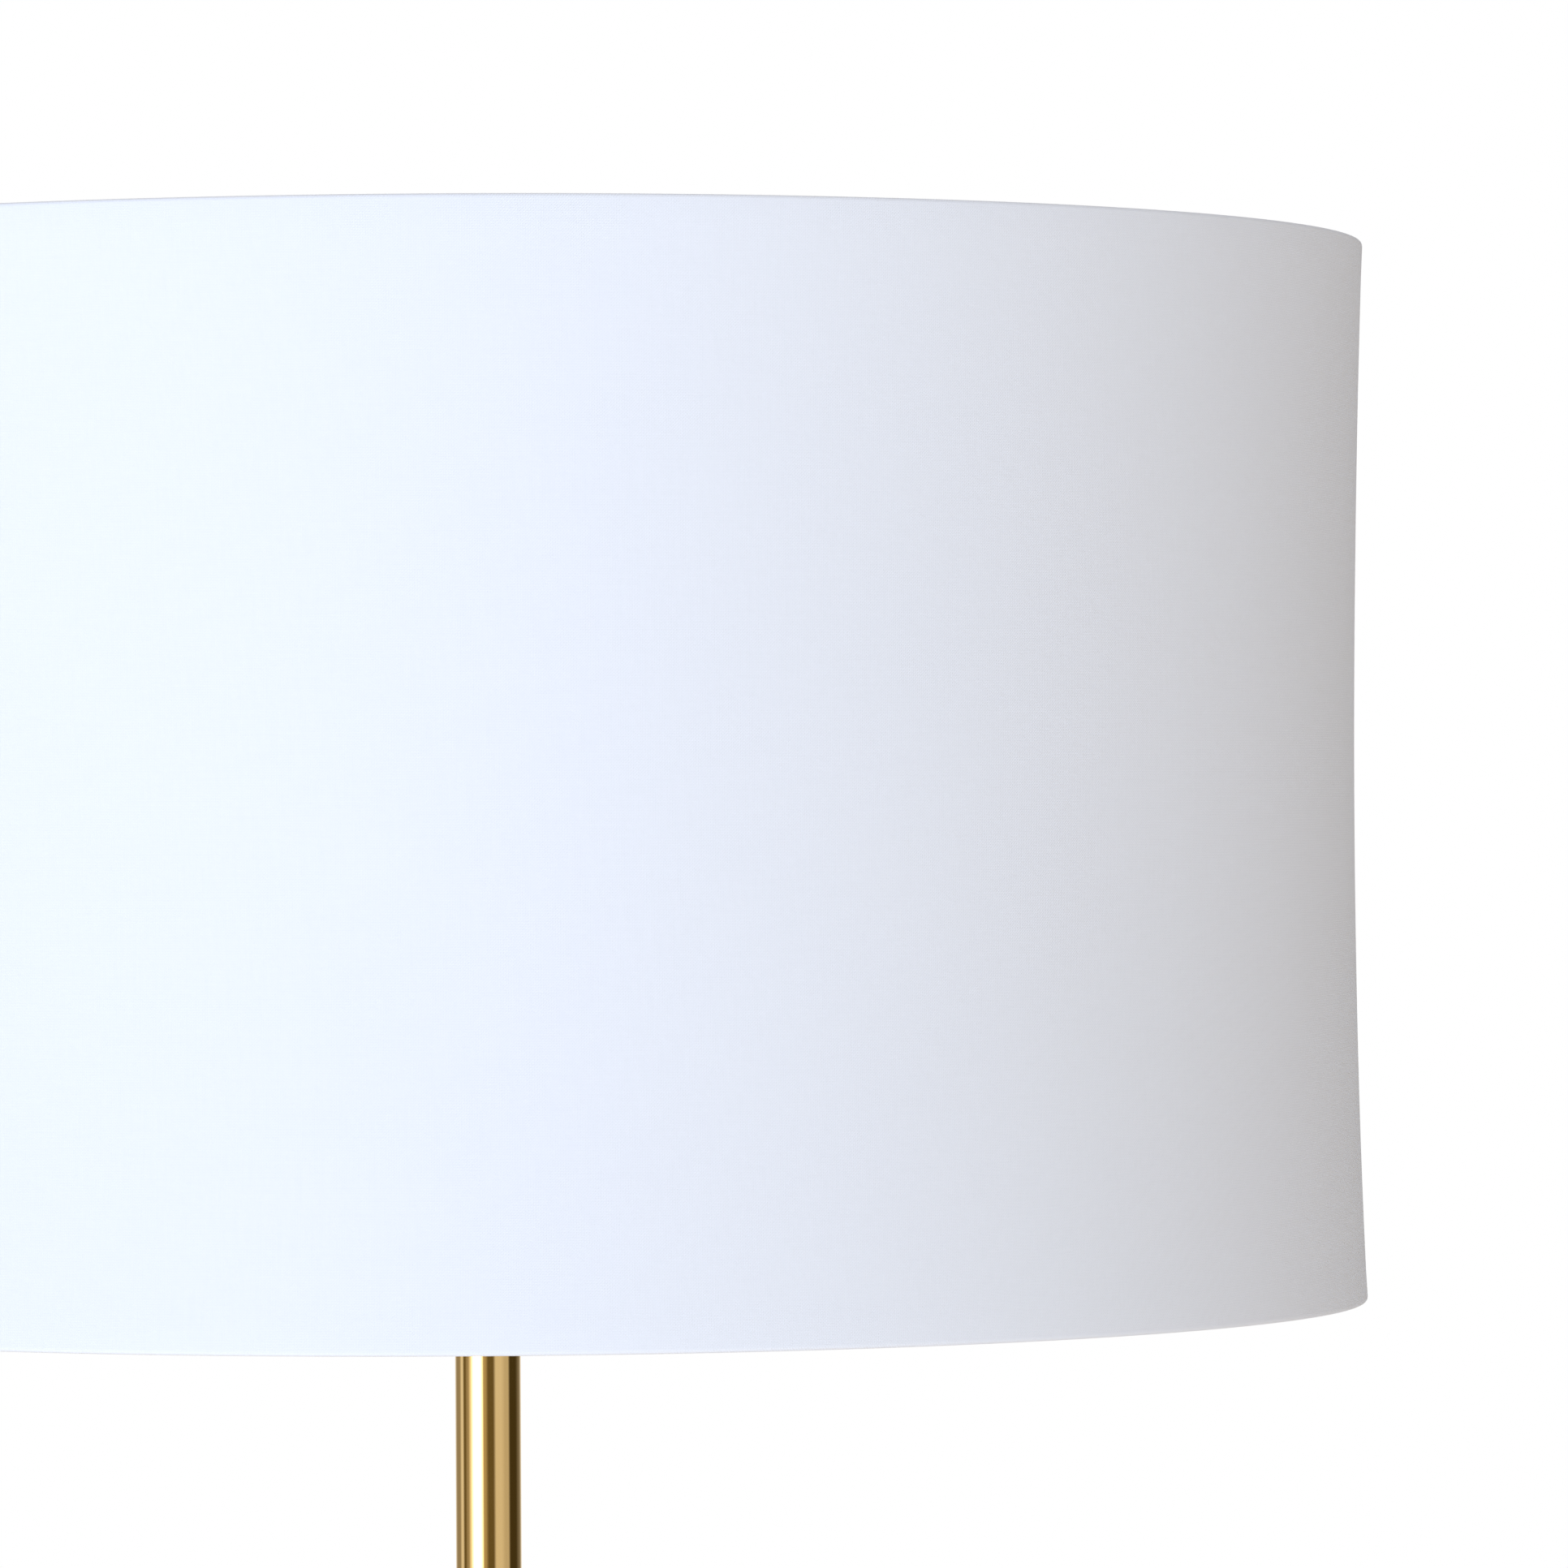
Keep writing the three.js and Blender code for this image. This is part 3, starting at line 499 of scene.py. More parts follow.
def turned(
    name, outline, material, matrix=None, sides=96, closed=False, change=None, sharp=CREASE
):
    """A solid of revolution of [r, z] points. An outline that isn't closed starts and ends on
    the axis. change(r, z, angle) may give a point another radius."""
    rows = len(outline)
    far = travelled([*outline, outline[0]])
    girth = max(r for r, _ in outline) * math.tau
    points = []
    index = []
    for r, z in outline:
        if r == 0:
            index.append([len(points)] * sides)
            points.append((0, 0, z))
            continue
        index.append([len(points) + k for k in range(sides)])
        for k in range(sides):
            angle = math.tau * k / sides
            at = change(r, z, angle) if change else r
            points.append((at * math.cos(angle), at * math.sin(angle), z))
    faces = []
    uvs = []
    for i in range(rows if closed else rows - 1):
        j = (i + 1) % rows
        for k in range(sides):
            m = (k + 1) % sides
            ring = [index[i][k], index[i][m], index[j][m], index[j][k]]
            u0, u1 = girth * k / sides, girth * (k + 1) / sides
            uv = [(u0, far[i]), (u1, far[i]), (u1, far[i + 1]), (u0, far[i + 1])]
            kept = [n for n in range(4) if ring[n] != ring[n - 1]]
            faces.append([ring[n] for n in kept])
            uvs.append([uv[n] for n in kept])
    piece = shaped(name, points, faces, uvs, material, matrix, sharp)
    face_outward(piece)
    return piece


def face_outward(piece):
    """Turns the faces of a closed mesh outward, keeping its maps."""
    mesh = bmesh.new()
    mesh.from_mesh(piece.data)
    if mesh.calc_volume(signed=True) < 0:
        bmesh.ops.reverse_faces(mesh, faces=mesh.faces[:])
        mesh.to_mesh(piece.data)
    mesh.free()


def circle(radius, sides=24):
    step = math.tau / sides
    return [(radius * math.cos(k * step), radius * math.sin(k * step)) for k in range(sides)]


def swept(name, route, section, material, matrix=None, scales=None):
    """A closed bar along a route of [x, z] points. The section is [across, y] points, which
    scales, one (across, y) pair for each route point, may shrink or widen."""
    line = [Vector((x, 0, z)) for x, z in route]
    sides = len(section)
    far = travelled(route)
    girth = travelled([*section, section[0]])
    points = []
    for i, at in enumerate(line):
        along = (line[min(i + 1, len(line) - 1)] - line[max(i - 1, 0)]).normalized()
        side = Vector((along.z, 0, -along.x))
        wide, deep = scales[i] if scales else (1, 1)
        points += [at + side * (a * wide) + Vector((0, b * deep, 0)) for a, b in section]
    faces = []
    uvs = []
    for i in range(len(line) - 1):
        for k in range(sides):
            m = (k + 1) % sides
            corner, above = i * sides, (i + 1) * sides
            faces.append([corner + k, corner + m, above + m, above + k])
            near, distant = far[i], far[i + 1]
            g0, g1 = girth[k], girth[k + 1]
            uvs.append([(g0, near), (g1, near), (g1, distant), (g0, distant)])
    last = (len(line) - 1) * sides
    faces.append(list(range(sides))[::-1])
    faces.append([last + k for k in range(sides)])
    uvs += [[(0, 0)] * sides] * 2
    piece = shaped(name, points, faces, uvs, material, matrix)
    face_outward(piece)
    return piece


def ring_outline(inner, outer, bottom, top, soft):
    """A tube's wall standing on end, with its four edges softened."""
    corners = [(inner, bottom), (outer, bottom), (outer, top), (inner, top)]
    return rounded([(r, z, soft) for r, z in corners], 3)


def hexagon(r, angle):
    return r * math.cos(math.pi / 6) / math.cos((angle % (math.pi / 3)) - math.pi / 6)


def hexagon_outside(core):
    """A change for turned(): the points further out than the core follow a hexagon."""
    return lambda r, _, angle: hexagon(r, angle) if r > core else r


def hexagon_inside(edge):
    """A change for turned(): the points nearer the axis than the edge follow a hexagon."""
    return lambda r, _, angle: hexagon(r, angle) if r < edge else r


def threading(start, end, pitch, depth, core):
    """A change for turned(): a right-hand thread from one height to another, on the points that
    are further out than the core."""

    def change(r, z, angle):
        if r < core or not start <= z <= end:
            return r
        return r + depth * math.cos(math.tau * (z - start) / pitch - angle)

    return change


ROWS_PER_TURN = 9


def thread_rows(radius, start, end, pitch):
    """Points close enough together to carry a thread."""
    steps = round(ROWS_PER_TURN * (end - start) / pitch)
    return [(radius, start + (end - start) * k / steps) for k in range(steps + 1)]


def stand_for(piece, body, slot, *nodes):
    """Has the piece ride on a body and show in place of the CAD nodes."""
    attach(piece, body)
    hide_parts(*nodes)
    return piece


# ------------------------------------------------------------------ shade
CLOTH = 0.7  # thickness
CLOTH_SIDES = 288
RING_INSET = 2.6  # from the shade's outline to the middle of the rings' wire
FRAME_WIRE = 1.5  # radius of the rings' wire
ARM_WIRE = 1.6  # radius of the spider arms' wire
LINER = 0.9  # thickness
LINER_INSET = 1.15  # from the shade's outline to the liner
HEM_REACH = 2.2  # from the middle of the wire to the middle of the cloth
HEM_DEPTH = 14
HEM_ROWS = (0, 4, 8)  # heights of the hem's points over its edge
WALL_INSET = 0.05  # from the folds' outer face to the wall's
WALL_STEPS = 44
SHADE_WAIST = 3.0  # how far the wall draws in
WAIST_DROP = 0.15  # how much more it does so in the lower half
FOLD_INSIDE = 1.4  # reach of the fold's rounded corners
FOLD_OUTSIDE = 1.0
SEAM_ANGLE = math.radians(68)
SEAM_WIDTH = 12
SEAM_LIFT = 0.55
SEAM_EDGE = 0.12  # the width over which the seam's crisp edge rises
SEAM_SLOPE = 5  # the width over which its other side falls
RIPPLE_BROAD = 0.22
RIPPLE_FINE = 0.05
RIPPLE_FADE = 7  # the ripple fades over a seventh of the height at each rim
NOTCH_HALF = 2.3  # half the width of the snip in the hem round each spider arm
PRESSED_END = 13  # how far from the shade's axis the spider arms are pressed flatter
PRESSED_FADE = 5
WELD_SWELL = 0.45  # how much thicker the arms are where they meet the ring
WELD_REACH = 2.6


def waist(z):
    t = 2 * (z - SHADE_BOTTOM) / SHADE_HEIGHT - 1
    return SHADE_WAIST * (1 - t * t) * (1 - WAIST_DROP * t)


def cloth_outline():
    """The cloth's middle line: up the inner hem, over the top ring, down the wall and round."""
    ring_r = SHADE_RADIUS - RING_INSET
    ring_z = SHADE_TOP - RING_INSET
    hem_r = ring_r - HEM_REACH
    outer_r = SHADE_RADIUS - CLOTH / 2
    fold_z = SHADE_TOP - CLOTH / 2
    hem = [(hem_r, SHADE_TOP - HEM_DEPTH + d) for d in HEM_ROWS]
    corners = [(hem_r, fold_z, FOLD_INSIDE), (ring_r, fold_z), (outer_r, fold_z, FOLD_OUTSIDE)]
    fold = rounded([hem[-1], *corners, (outer_r, ring_z)])[1:-1]
    wall_low = SHADE_BOTTOM + RING_INSET
    wall = []
    for k in range(1, WALL_STEPS):
        z = ring_z + (wall_low - ring_z) * k / WALL_STEPS
        wall.append((outer_r - waist(z) - WALL_INSET, z))
    top = hem + fold
    bottom = [(r, SHADE_TOP + SHADE_BOTTOM - z) for r, z in reversed(top)]
    return top + wall + bottom


def cloth_angles():
    """Even steps round the shade, with edges added at the seam and at the snips."""
    angles = {round(math.tau * k / CLOTH_SIDES, 5) for k in range(CLOTH_SIDES)}
    extra = [-0.25, 0.0, SEAM_EDGE, SEAM_WIDTH - SEAM_SLOPE, SEAM_WIDTH]
    angles |= {round(SEAM_ANGLE + d / SHADE_RADIUS, 5) for d in extra}
    for angle in ARM_ANGLES:
        angles |= {round(angle + d / SHADE_RADIUS, 5) for d in (-NOTCH_HALF, NOTCH_HALF)}
    return sorted(angles)


def seam_lift(angle):
    """The cloth laps over itself at the seam: a crisp edge on one side, a slope on the other."""
    d = (angle - SEAM_ANGLE) * SHADE_RADIUS
    if d <= 0 or d >= SEAM_WIDTH:
        return 0.0
    return SEAM_LIFT * min(1.0, d / SEAM_EDGE, (SEAM_WIDTH - d) / SEAM_SLOPE)


def ripple(angle, z):
    """The small unevenness of cloth glued to a drum, none at the rims."""
    t = (z - SHADE_BOTTOM) / SHADE_HEIGHT
    fade = max(0.0, min(1.0, RIPPLE_FADE * t, RIPPLE_FADE * (1 - t)))
    broad = noise.noise(Vector((2.6 * math.cos(angle), 2.6 * math.sin(angle), 1.3 * t)))
    fine = noise.noise(Vector((11 * math.cos(angle), 11 * math.sin(angle), 4 * t + 7)))
    return fade * (RIPPLE_BROAD * broad + RIPPLE_FINE * fine)


def build_cloth(material):
    line = cloth_outline()
    far = travelled(line)
    angles = cloth_angles()
    count = len(angles)
    rows = len(line)
    # The inner hem and the fold's inner corner are snipped.
    inner_rows = len(HEM_ROWS) + CORNER_STEPS

    normals = []
    for i in range(rows):
        a, b = line[max(i - 1, 0)], line[min(i + 1, rows - 1)]
        along = Vector((b[0] - a[0], b[1] - a[1])).normalized()
        normals.append((-along.y, along.x))

    points = []
    for side in (0.5, -0.5):
        for i, (r, z) in enumerate(line):
            nr, nz = normals[i]
            for angle in angles:
                lift = seam_lift(angle) + ripple(angle, z)
                at = r + nr * (side * CLOTH) + lift * abs(nr)
                height = z + nz * (side * CLOTH + seam_lift(angle) * 0.5)
                points.append((at * math.cos(angle), at * math.sin(angle), height))

    def vertex(side, i, k):
        return side * rows * count + i * count + k % count

    def snipped(k):
        middle = (angles[k] + angles[(k + 1) % count]) / 2
        return any(abs(middle - a) * SHADE_RADIUS < NOTCH_HALF for a in ARM_ANGLES)

    snips = {k for k in range(count) if snipped(k)}

    def kept(i, k):
        return 0 <= i < rows - 1 and not (i < inner_rows and k % count in snips)

    def uv(i, k):
        angle = angles[k % count] + (math.tau if k >= count else 0)
        return (angle * SHADE_RADIUS, far[i])

    faces = []
    uvs = []

    def face(*corners):
        faces.append([vertex(side, i, k) for side, i, k in corners])
        uvs.append([uv(i, k) for _, i, k in corners])

    for i in range(rows - 1):
        for k in range(count):
            if not kept(i, k):
                continue
            face((0, i, k), (0, i, k + 1), (0, i + 1, k + 1), (0, i + 1, k))
            face((1, i, k), (1, i + 1, k), (1, i + 1, k + 1), (1, i, k + 1))
            if not kept(i - 1, k):
                face((0, i, k), (1, i, k), (1, i, k + 1), (0, i, k + 1))
            if not kept(i + 1, k):
                face((0, i + 1, k), (0, i + 1, k + 1), (1, i + 1, k + 1), (1, i + 1, k))
            if not kept(i, k - 1):
                face((0, i, k), (0, i + 1, k), (1, i + 1, k), (1, i, k))
            if not kept(i, k + 1):
                face((0, i, k + 1), (1, i, k + 1), (1, i + 1, k + 1), (0, i + 1, k + 1))
    cloth = shaped("shade_cloth", points, faces, uvs, material, SHADE_AXIS, 50)
    drop_loose_points(cloth)
    face_outward(cloth)
    flat = (math.tau * SHADE_RADIUS + SEAM_WIDTH, far[-1])
    return cloth, flat


def drop_loose_points(piece):
    mesh = bmesh.new()
    mesh.from_mesh(piece.data)
    loose = [v for v in mesh.verts if not v.link_faces]
    bmesh.ops.delete(mesh, geom=loose, context="VERTS")
    mesh.to_mesh(piece.data)
    mesh.free()


def build_shade(m):
    cloth, flat = build_cloth(m["shade_cloth"])
    stand_for(cloth, "shade", "shade_cloth", "shade_fabric")

    gap = 4.5
    outer = [
        (SHADE_RADIUS - LINER_INSET - waist(z), z)
        for z in (SHADE_BOTTOM + gap + (SHADE_HEIGHT - 2 * gap) * k / 16 for k in range(17))
    ]
    wall = outer + [(r - LINER, z) for r, z in reversed(outer)]
    liner = turned("liner_film", wall, m["liner_film"], SHADE_AXIS, 240, closed=True)
    stand_for(liner, "shade", "liner_film", "shade_liner")

    ring_r = SHADE_RADIUS - RING_INSET
    for side, z in (("top", SHADE_TOP - RING_INSET), ("bottom", SHADE_BOTTOM + RING_INSET)):
        wire = [(ring_r + r, z + dz) for r, dz in circle(FRAME_WIRE, 12)]
        name = f"{side}_ring_wire"
        ring = turned(name, wire, m["zinc_steel"], SHADE_AXIS, 192, closed=True)
        stand_for(ring, "shade", "zinc_steel", f"shade_{side}_ring")

    hub_low, hub_high = low("spider_hub").z, high("spider_hub").z
    washer = ring_outline(3.5, 9, hub_low, hub_high, 0.35)
    hub = turned("spider_washer", washer, m["plain_brass"], SHADE_AXIS, 64, closed=True)
    stand_for(hub, "shade", "plain_brass", "spider_hub")

    hub_z = (hub_low + hub_high) / 2
    ring_z = SHADE_TOP - RING_INSET
    stops = [(7.2, hub_z), (20, hub_z), (34, hub_z + 3), (52, ring_z - 1), (70, ring_z)]
    route = smooth_line([*stops, (160, ring_z), (ring_r - 0.8, ring_z)], 10)
    # The arms are pressed flatter near the hub, and swell where they are welded to the ring.
    scales = []
    for x, _ in route:
        pressed = max(0.0, min(1.0, (PRESSED_END - x) / PRESSED_FADE))
        weld = 1 + WELD_SWELL * max(0.0, 1 - (ring_r - FRAME_WIRE - x) / WELD_REACH)
        scales.append((weld * (1 - 0.45 * pressed), weld * (1 + 0.35 * pressed)))
    for i, angle in enumerate(ARM_ANGLES):
        matrix = SHADE_AXIS @ Matrix.Rotation(angle, 4, "Z")
        name = f"spider_wire_{i + 1}"
        arm = swept(name, route, circle(ARM_WIRE, 20), m["plain_brass"], matrix, scales)
        stand_for(arm, "shade", "plain_brass", f"spider_arm_{i + 1}")


# ------------------------------------------------------------------ finial and harp
def build_finial(m):
    base = low("finial").z - POLE_TOP
    profile = [
        (3.3, base),
        (6.5, base, 0.4),
        (7, base + 1.4, 0.5),
        (4.2, base + 3.2, 1.1),
        (4.1, base + 5.6, 1.2),
        (8, base + 9.2, 2.6),
        (8.9, base + 13, 2.6),
        (7.4, base + 17.4, 2.4),
        (4, base + 20.3, 1.6),
        (0, base + 21),
    ]
    outline = [(0, base + 9), (3.3, base + 8.6), *rounded(profile, 8)]
    knob = turned("finial_knob", outline, m["polished_brass"], HEAD, 96)
    stand_for(knob, "finial", "polished_brass", "finial")


HARP_LEG = 31  # from the shade's axis to each leg of the harp
HARP_WIRE = 2.1  # radius


def build_harp(m):
    half = [
        (HARP_LEG, 26.3),
        (HARP_LEG, 38),
        (HARP_LEG, 50),
        (38, 66),
        (50, 92),
        (55, 124),
        (52.5, 158),
        (44, 192),
        (32, 220),
        (20, 239),
        (9, 249.4),
    ]
    stops = [*half, (0, 250), *((-x, z) for x, z in reversed(half))]
    wire = circle(HARP_WIRE, 20)
    loop = swept("harp_wire", smooth_line(stops), wire, m["plain_brass"], HEAD)
    stand_for(loop, "lamp", "plain_brass", "harp")

    boss = [(0, 247.2), (2.6, 247.2, 0.5), (4.6, 249.2, 0.8), (5, 254.4, 0.5), (2.9, 254.4)]
    start, end, pitch = 254.9, 263.6, 0.95
    rows = [*rounded(boss), *thread_rows(2.9, start, end, pitch), (2.4, 264.1), (0, 264.1)]
    thread = threading(start, end, pitch, 0.22, 2.5)
    stud = turned("harp_stud", rows, m["plain_brass"], HEAD, 48, change=thread)
    stand_for(stud, "lamp", "plain_brass", "harp_top_stud")

    for side, sign in (("left", -1), ("right", 1)):
        node = f"harp_sleeve_{side}"
        bottom, top = low(node).z, high(node).z
        wall = [
            (2.6, bottom, 0.2),
            (3.9, bottom, 0.4),
            (3.9, bottom + 1.4, 0.5),
            (3.4, bottom + 2.4, 0.6),
            (3.4, top - 1.2, 0.4),
            (3.1, top, 0.4),
            (2.6, top, 0.2),
        ]
        matrix = Matrix.Translation((SHADE_X + sign * HARP_LEG, 0, 0))
        name = f"locking_sleeve_{side}"
        sleeve = turned(name, rounded(wall, 4), m["plain_brass"], matrix, 48, closed=True)
        stand_for(sleeve, f"sleeve_{side}", "plain_brass", node)

    level_z = 7.15
    ears = 18.7  # the strip is narrower above this height
    left = [
        (-HARP_LEG, 26),
        (-HARP_LEG, ears + 0.2),
        (-HARP_LEG, ears - 0.2),
        (-HARP_LEG, 12.6, 3),
        (-26.4, level_z, 3),
    ]
    route = rounded([*left, *((-p[0], *p[1:]) for p in reversed(left))], 6)
    scales = [(1, 0.34 if z > ears else 1) for _, z in route]
    section = rounded([(-0.85, -6, 0.4), (0.85, -6, 0.4), (0.85, 6, 0.4), (-0.85, 6, 0.4)], 3)
    saddle = swept("harp_saddle_strip", route, section, m["plain_brass"], HEAD, scales)
    stand_for(saddle, "lamp", "plain_brass", "harp_saddle")


# ------------------------------------------------------------------ socket, switch and bulb
LAMP_PITCH = 3.6  # of the thread that bulb and socket share


def build_socket(m):
    cap = [
        (5.2, 12.6, 0.3),
        (8, 12.6, 0.4),
        (8.2, 14.8, 0.9),
        (14.2, 16.9, 2.4),
        (17.7, 20.8, 2.4),
        (18.6, 25.4, 1.4),
        (18.6, 26.6, 0.4),
        (19, 27.2, 0.4),
        (19, 28.4, 0.4),
        (18.6, 29, 0.4),
        (18.9, 32, 0.3),
        (18.1, 32, 0.3),
        (18.1, 26, 1),
        (16.9, 21.4, 2),
        (13.8, 17.9, 2),
        (9, 16.2, 1),
        (5.2, 16.2),
    ]
    piece = turned("socket_cap_shell", rounded(cap, 6), m["plain_brass"], HEAD, 96, closed=True)
    stand_for(piece, "lamp", "plain_brass", "socket_cap")

    shell = [
        (17.1, 27),
        (17.7, 27),
        (17.7, 56, 0.5),
        (18.2, 57.2, 0.6),
        (17.7, 58.4, 0.5),
        (17.7, 62, 0.5),
        (18.2, 63.2, 0.6),
        (17.7, 64.4, 0.5),
        (17.7, 74, 0.6),
        (18.4, 75.2, 0.5),
        (18.4, 76.4, 0.4),
        (17.1, 76.4, 0.3),
    ]
    piece = turned("socket_body_shell", rounded(shell, 6), m["plain_brass"], HEAD, 96, closed=True)
    stand_for(piece, "lamp", "plain_brass", "socket_shell")

    sleeve = ring_outline(16.1, 16.7, 28, 78, 0.15)
    piece = turned("card_sleeve", sleeve, m["insulating_card"], HEAD, 96, closed=True)
    stand_for(piece, "lamp", "insulating_card", "socket_insulating_sleeve")

    start, end = 51.4, 75.8
    rolled = thread_rows(13.55, start, end, LAMP_PITCH)
    inside = [(r - 0.4, z) for r, z in reversed(rolled)]
    wall = [(4.2, 50.6), (13, 50.6), *rolled, *inside, (13, 51), (4.2, 51)]
    thread = threading(start, end, LAMP_PITCH, 0.28, 13.1)
    piece = turned("socket_thread", wall, m["aluminium"], HEAD, 72, closed=True, change=thread)
    stand_for(piece, "lamp", "aluminium", "socket_screw_shell")


SWITCH_HEIGHT = 42  # of the switch's axis over the top of the pole
FLUTES = 14
FLUTE_DEPTH = 0.045  # of the radius


def fluted(r, _, angle):
    """A change for turned(): the flutes of the knob, which leave the middle of its ends flat."""
    return r * (1 + FLUTE_DEPTH * math.cos(FLUTES * angle)) if r > 3 else r


def build_switch(m):
    axis = Matrix.Translation((0, 0, SWITCH_HEIGHT))
    matrix = HEAD @ axis @ Matrix.Rotation(math.pi / 2, 4, "X")
    shaft = rounded([(0, 9), (2, 9, 0.3), (2, 28.4), (0, 28.4)], 3)
    piece = turned("switch_spindle", shaft, m["plain_brass"], matrix, 32)
    stand_for(piece, "switch", "plain_brass", "switch_shaft")
    knob = [
        (0, 27.3),
        (4.6, 27.3, 0.6),
        (6.2, 29.6, 1.2),
        (5.5, 37.6, 1),
        (4.2, 39, 1),
        (0, 38.7),
    ]
    outline = rounded(knob, 8)
    piece = turned("switch_knob_fluted", outline, m["black_resin"], matrix, 168, change=fluted)
    stand_for(piece, "switch", "black_resin", "switch_knob")


def build_bulb(m):
    stops = [(11.9, 80.5), (14.2, 87), (20.5, 99), (27.6, 113), (29.95, 126), (27.4, 138.6)]
    stops += [(20, 148.4), (10, 154.4), (0, 156)]
    glass = [(0, 73), (11.6, 73), *smooth_line(stops, 8)[:-1], (0, 156)]
    piece = turned("bulb_globe", glass, m["frosted_glass"], HEAD, 96, sharp=60)
    stand_for(piece, "lamp", "frosted_glass", "bulb_glass")

    start, end = 60.9, 76.6
    rows = thread_rows(12.65, start, end, LAMP_PITCH)
    rim = [(12.9, 77.4), (12.9, 79.4), (12.3, 80), (11.8, 80), (11.8, 62), (9.4, 59.5)]
    cap = [(9.4, 58.9), (10, 58.3), (12.2, 60.2), *rows, *rim]
    thread = threading(start, end, LAMP_PITCH, 0.3, 12.5)
    piece = turned("bulb_thread", cap, m["aluminium"], HEAD, 72, closed=True, change=thread)
    stand_for(piece, "lamp", "aluminium", "bulb_screw_cap")


def build_neck(m):
    cap = [
        (5.2, -10),
        (7.4, -10, 0.3),
        (7.4, 0.3),
        (11, 0.3, 0.3),
        (11.4, 1.4, 0.5),
        (11.3, 2.8, 0.6),
        (10, 3.9, 0.8),
        (8.2, 4.4, 0.6),
        (8, 6, 0.3),
        (5.2, 6),
    ]
    piece = turned("pole_top_cap", rounded(cap, 6), m["polished_brass"], HEAD, 96, closed=True)
    stand_for(piece, "lamp", "polished_brass", "pole_cap")

    bottom = low("neck_lock_nut").z - POLE_TOP
    top = high("neck_lock_nut").z - POLE_TOP
    nut = [
        (5.2, bottom),
        (8, bottom),
        (8.66, bottom + 0.5),
        (8.66, top - 0.5),
        (8, top),
        (5.2, top),
    ]
    shape = hexagon_outside(8.5)
    piece = turned("neck_nut", nut, m["zinc_steel"], HEAD, 96, closed=True, change=shape, sharp=25)
    stand_for(piece, "lamp", "zinc_steel", "neck_lock_nut")


# ------------------------------------------------------------------ pole
def arc_point(lean):
    x = SHADE_X - ARC_RADIUS * (1 - math.cos(lean))
    return (x, ARC_TOP - ARC_RADIUS * math.sin(lean))


def along_foot(distance):
    return (distance * math.sin(ARC_LEAN), FOOT_Z + distance * math.cos(ARC_LEAN))


def arc_route(start, end, steps):
    return [arc_point(start + (end - start) * k / steps) for k in range(steps + 1)]


TUBE_STOP = 4.3  # from the middle of a coupling ring to the tube on each side


def build_pole(m):
    brass = m["polished_brass"]
    half_ring = TUBE_STOP / ARC_RADIUS
    joint = ARC_LEAN / 2
    section = circle(POLE_RADIUS, 64)
    lower = [along_foot(26.3), along_foot(44), *arc_route(ARC_LEAN, joint + half_ring, 48)]
    middle = arc_route(joint - half_ring, half_ring, 48)
    upper = [(SHADE_X, ARC_TOP + TUBE_STOP), (SHADE_X, POLE_TOP)]
    for part, route in (("lower", lower), ("middle", middle), ("upper", upper)):
        tube = swept(f"pole_{part}_tube", route, section, brass)
        stand_for(tube, "lamp", "polished_brass", f"pole_{part}")

    ring = [
        (7.7, -4.2),
        (9.7, -4.2, 0.2),
        (10.6, -3.4, 0.5),
        (10.6, -1.3, 0.2),
        (10.1, -0.9, 0.2),
        (10.1, 0.9, 0.2),
        (10.6, 1.3, 0.2),
        (10.6, 3.4, 0.5),
        (9.7, 4.2, 0.2),
        (7.7, 4.2),
    ]
    for name, lean in (("lower_coupling", joint), ("upper_coupling", 0)):
        x, z = arc_point(lean)
        matrix = Matrix.Translation((x, 0, z)) @ Matrix.Rotation(lean, 4, "Y")
        piece = turned(f"{name}_collar", rounded(ring, 4), brass, matrix, 96, closed=True)
        stand_for(piece, "lamp", "polished_brass", f"{name}_ring")


def build_flange(m):
    radius = high("foot_flange").x
    bottom, top = low("foot_flange").z, high("foot_flange").z
    corners = [(STEM_CLEAR, bottom), (radius, bottom, 0.3), (radius, top, 2.8), (STEM_CLEAR, top)]
    outline = rounded(corners, 10)
    plate = turned("foot_flange_plate", outline, m["polished_brass"], None, 160, closed=True)
    stand_for(plate, "lamp", "polished_brass", "foot_flange")


SCREW_PLACE = 46  # of the set screw, along the foot


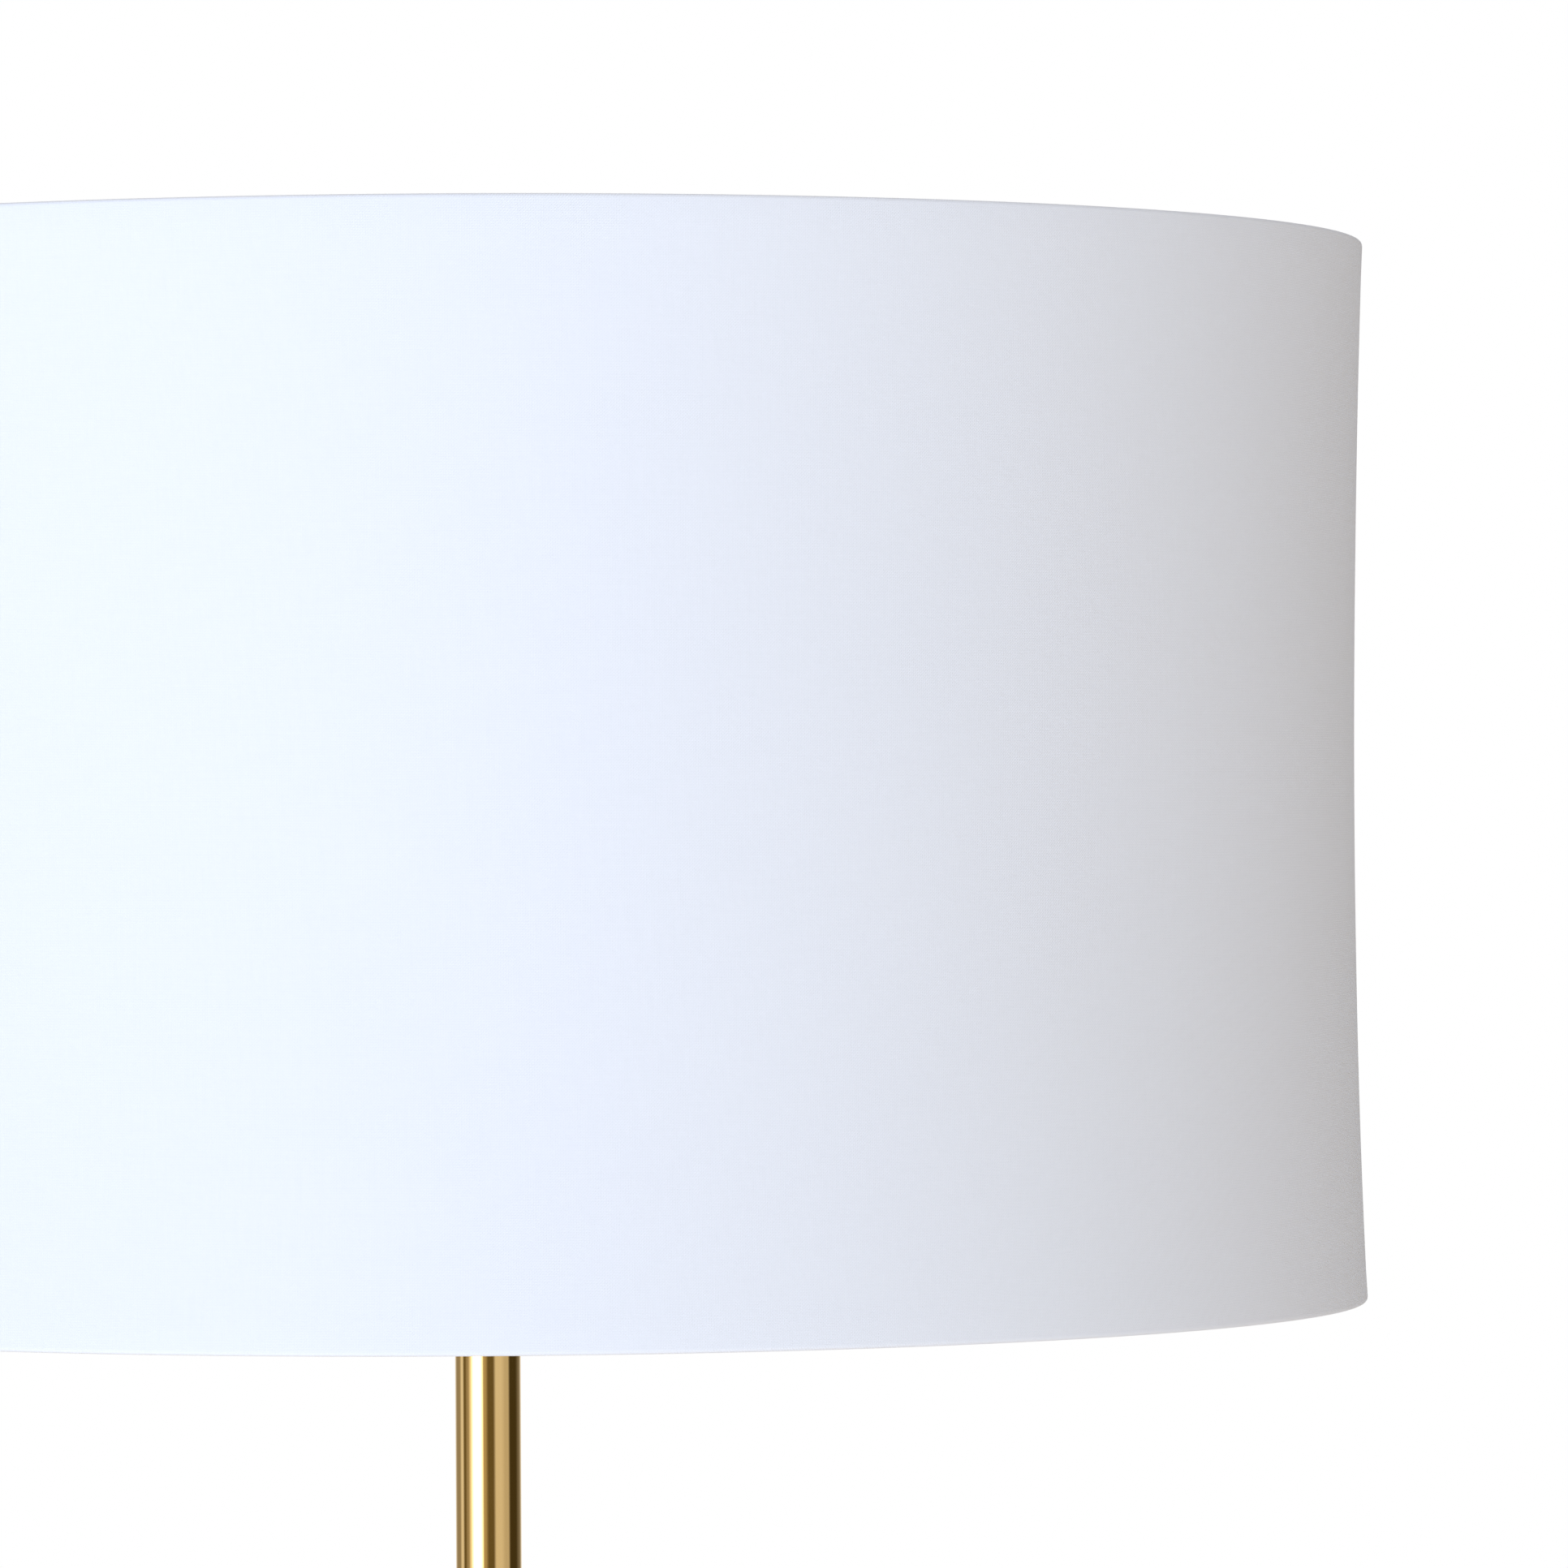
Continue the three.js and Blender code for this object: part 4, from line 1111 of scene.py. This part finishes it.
def build_foot(m):
    below = -30  # far enough down for the level cut to reach all round
    neck = FOOT_LENGTH - 9
    body = [
        (0, below),
        (FOOT_RADIUS, below),
        (FOOT_RADIUS, neck),
        (FOOT_RADIUS, FOOT_LENGTH, 4.5),
        (9.7, FOOT_LENGTH, 0.6),
        (9.7, FOOT_LENGTH - 6),
        (0, FOOT_LENGTH - 6),
    ]
    outline = rounded(body, 8)
    side = [(FOOT_RADIUS, below + (neck - below) * k / 20) for k in range(1, 20)]
    rows = [*outline[:2], *side, *outline[2:]]
    foot = turned("pole_foot_socket", rows, m["polished_brass"], FOOT, 128)
    mesh = bmesh.new()
    mesh.from_mesh(foot.data)
    everything = mesh.verts[:] + mesh.edges[:] + mesh.faces[:]
    cut = bmesh.ops.bisect_plane(
        mesh,
        geom=everything,
        plane_co=(0, 0, FOOT_Z * MM),
        plane_no=(0, 0, 1),
        clear_inner=True,
    )
    edges = [e for e in cut["geom_cut"] if isinstance(e, bmesh.types.BMEdge)]
    bmesh.ops.edgenet_fill(mesh, edges=edges)
    bmesh.ops.recalc_face_normals(mesh, faces=mesh.faces[:])
    mesh.to_mesh(foot.data)
    mesh.free()
    foot.data.set_sharp_from_angle(angle=math.radians(CREASE))
    stand_for(foot, "lamp", "polished_brass", "pole_foot")

    place = Matrix.Translation((0, 0, SCREW_PLACE))
    matrix = FOOT @ place @ Matrix.Rotation(-math.pi / 2, 4, "Y")
    screw = [
        (0, 10.1),
        (2.4, 10.1),
        (2.4, 15.9),
        (2.1, 16.3),
        (1.35, 16.3),
        (1.35, 13.6),
        (0, 13.4),
    ]
    recess = hexagon_inside(1.5)
    piece = turned("grub_screw", screw, m["zinc_steel"], matrix, 72, change=recess, sharp=25)
    stand_for(piece, "lamp", "zinc_steel", "foot_set_screw")


# ------------------------------------------------------------------ base
def build_base(m):
    edge = 7
    wall = 1.4
    hole = 8.6
    bottom, top = 1.5, BASE_TOP
    outline = [(BASE_RADIUS, bottom)]
    for k in range(13):
        a = math.pi / 2 * k / 12
        outline.append(
            (BASE_RADIUS - edge + edge * math.cos(a), top - edge + edge * math.sin(a))
        )
    outline += [(r, top) for r in (120, 90, 60, 30, hole)]
    outline.append((hole, top - wall))
    inner = edge - wall
    for k in range(7):
        a = math.pi / 2 * (1 - k / 6)
        outline.append(
            (BASE_RADIUS - edge + inner * math.cos(a), top - edge + inner * math.sin(a))
        )
    outline.append((BASE_RADIUS - wall, bottom))
    cover = turned("base_cover_shell", outline, m["spun_brass"], None, 256, closed=True)
    stand_for(cover, "lamp", "polished_brass", "base_cover")

    radius = high("base_felt_pad").x
    disc = rounded([(0, 0), (radius, 0, 0.6), (radius, 2, 0.6), (0, 2)], 4)
    pad = turned("felt_disc", disc, m["felt"], None, 192)
    stand_for(pad, "lamp", "felt", "base_felt_pad")

    outlet = BASE_RADIUS + 0.3
    gland = [
        (2.7, outlet - 10),
        (4.5, outlet - 10),
        (4.5, outlet),
        (6.4, outlet, 0.2),
        (6.4, outlet + 1.4, 0.6),
        (5, outlet + 3.2, 0.7),
        (2.7, outlet + 3.2, 0.5),
    ]
    height = (low("cord_gland").z + high("cord_gland").z) / 2
    matrix = Matrix.Translation((0, 0, height)) @ Matrix.Rotation(-math.pi / 2, 4, "X")
    piece = turned("cord_bushing", rounded(gland, 5), m["black_resin"], matrix, 64, closed=True)
    stand_for(piece, "lamp", "black_resin", "cord_gland")


def finish_cad_nodes(m):
    """Gives each CAD node the finish of its slot, for those that no piece replaces."""
    for row in frame["record"]["subparts"]:
        mesh = frame["nodes"][row["node"]].data
        mesh.materials.clear()
        mesh.materials.append(m[row["material_slot"]])


def build_lamp():
    m = build_materials()
    finish_cad_nodes(m)
    build_shade(m)
    build_finial(m)
    build_harp(m)
    build_socket(m)
    build_switch(m)
    build_bulb(m)
    build_neck(m)
    build_pole(m)
    build_flange(m)
    build_foot(m)
    build_base(m)


build_camera()
build_world()
build_floor()
build_lamp()
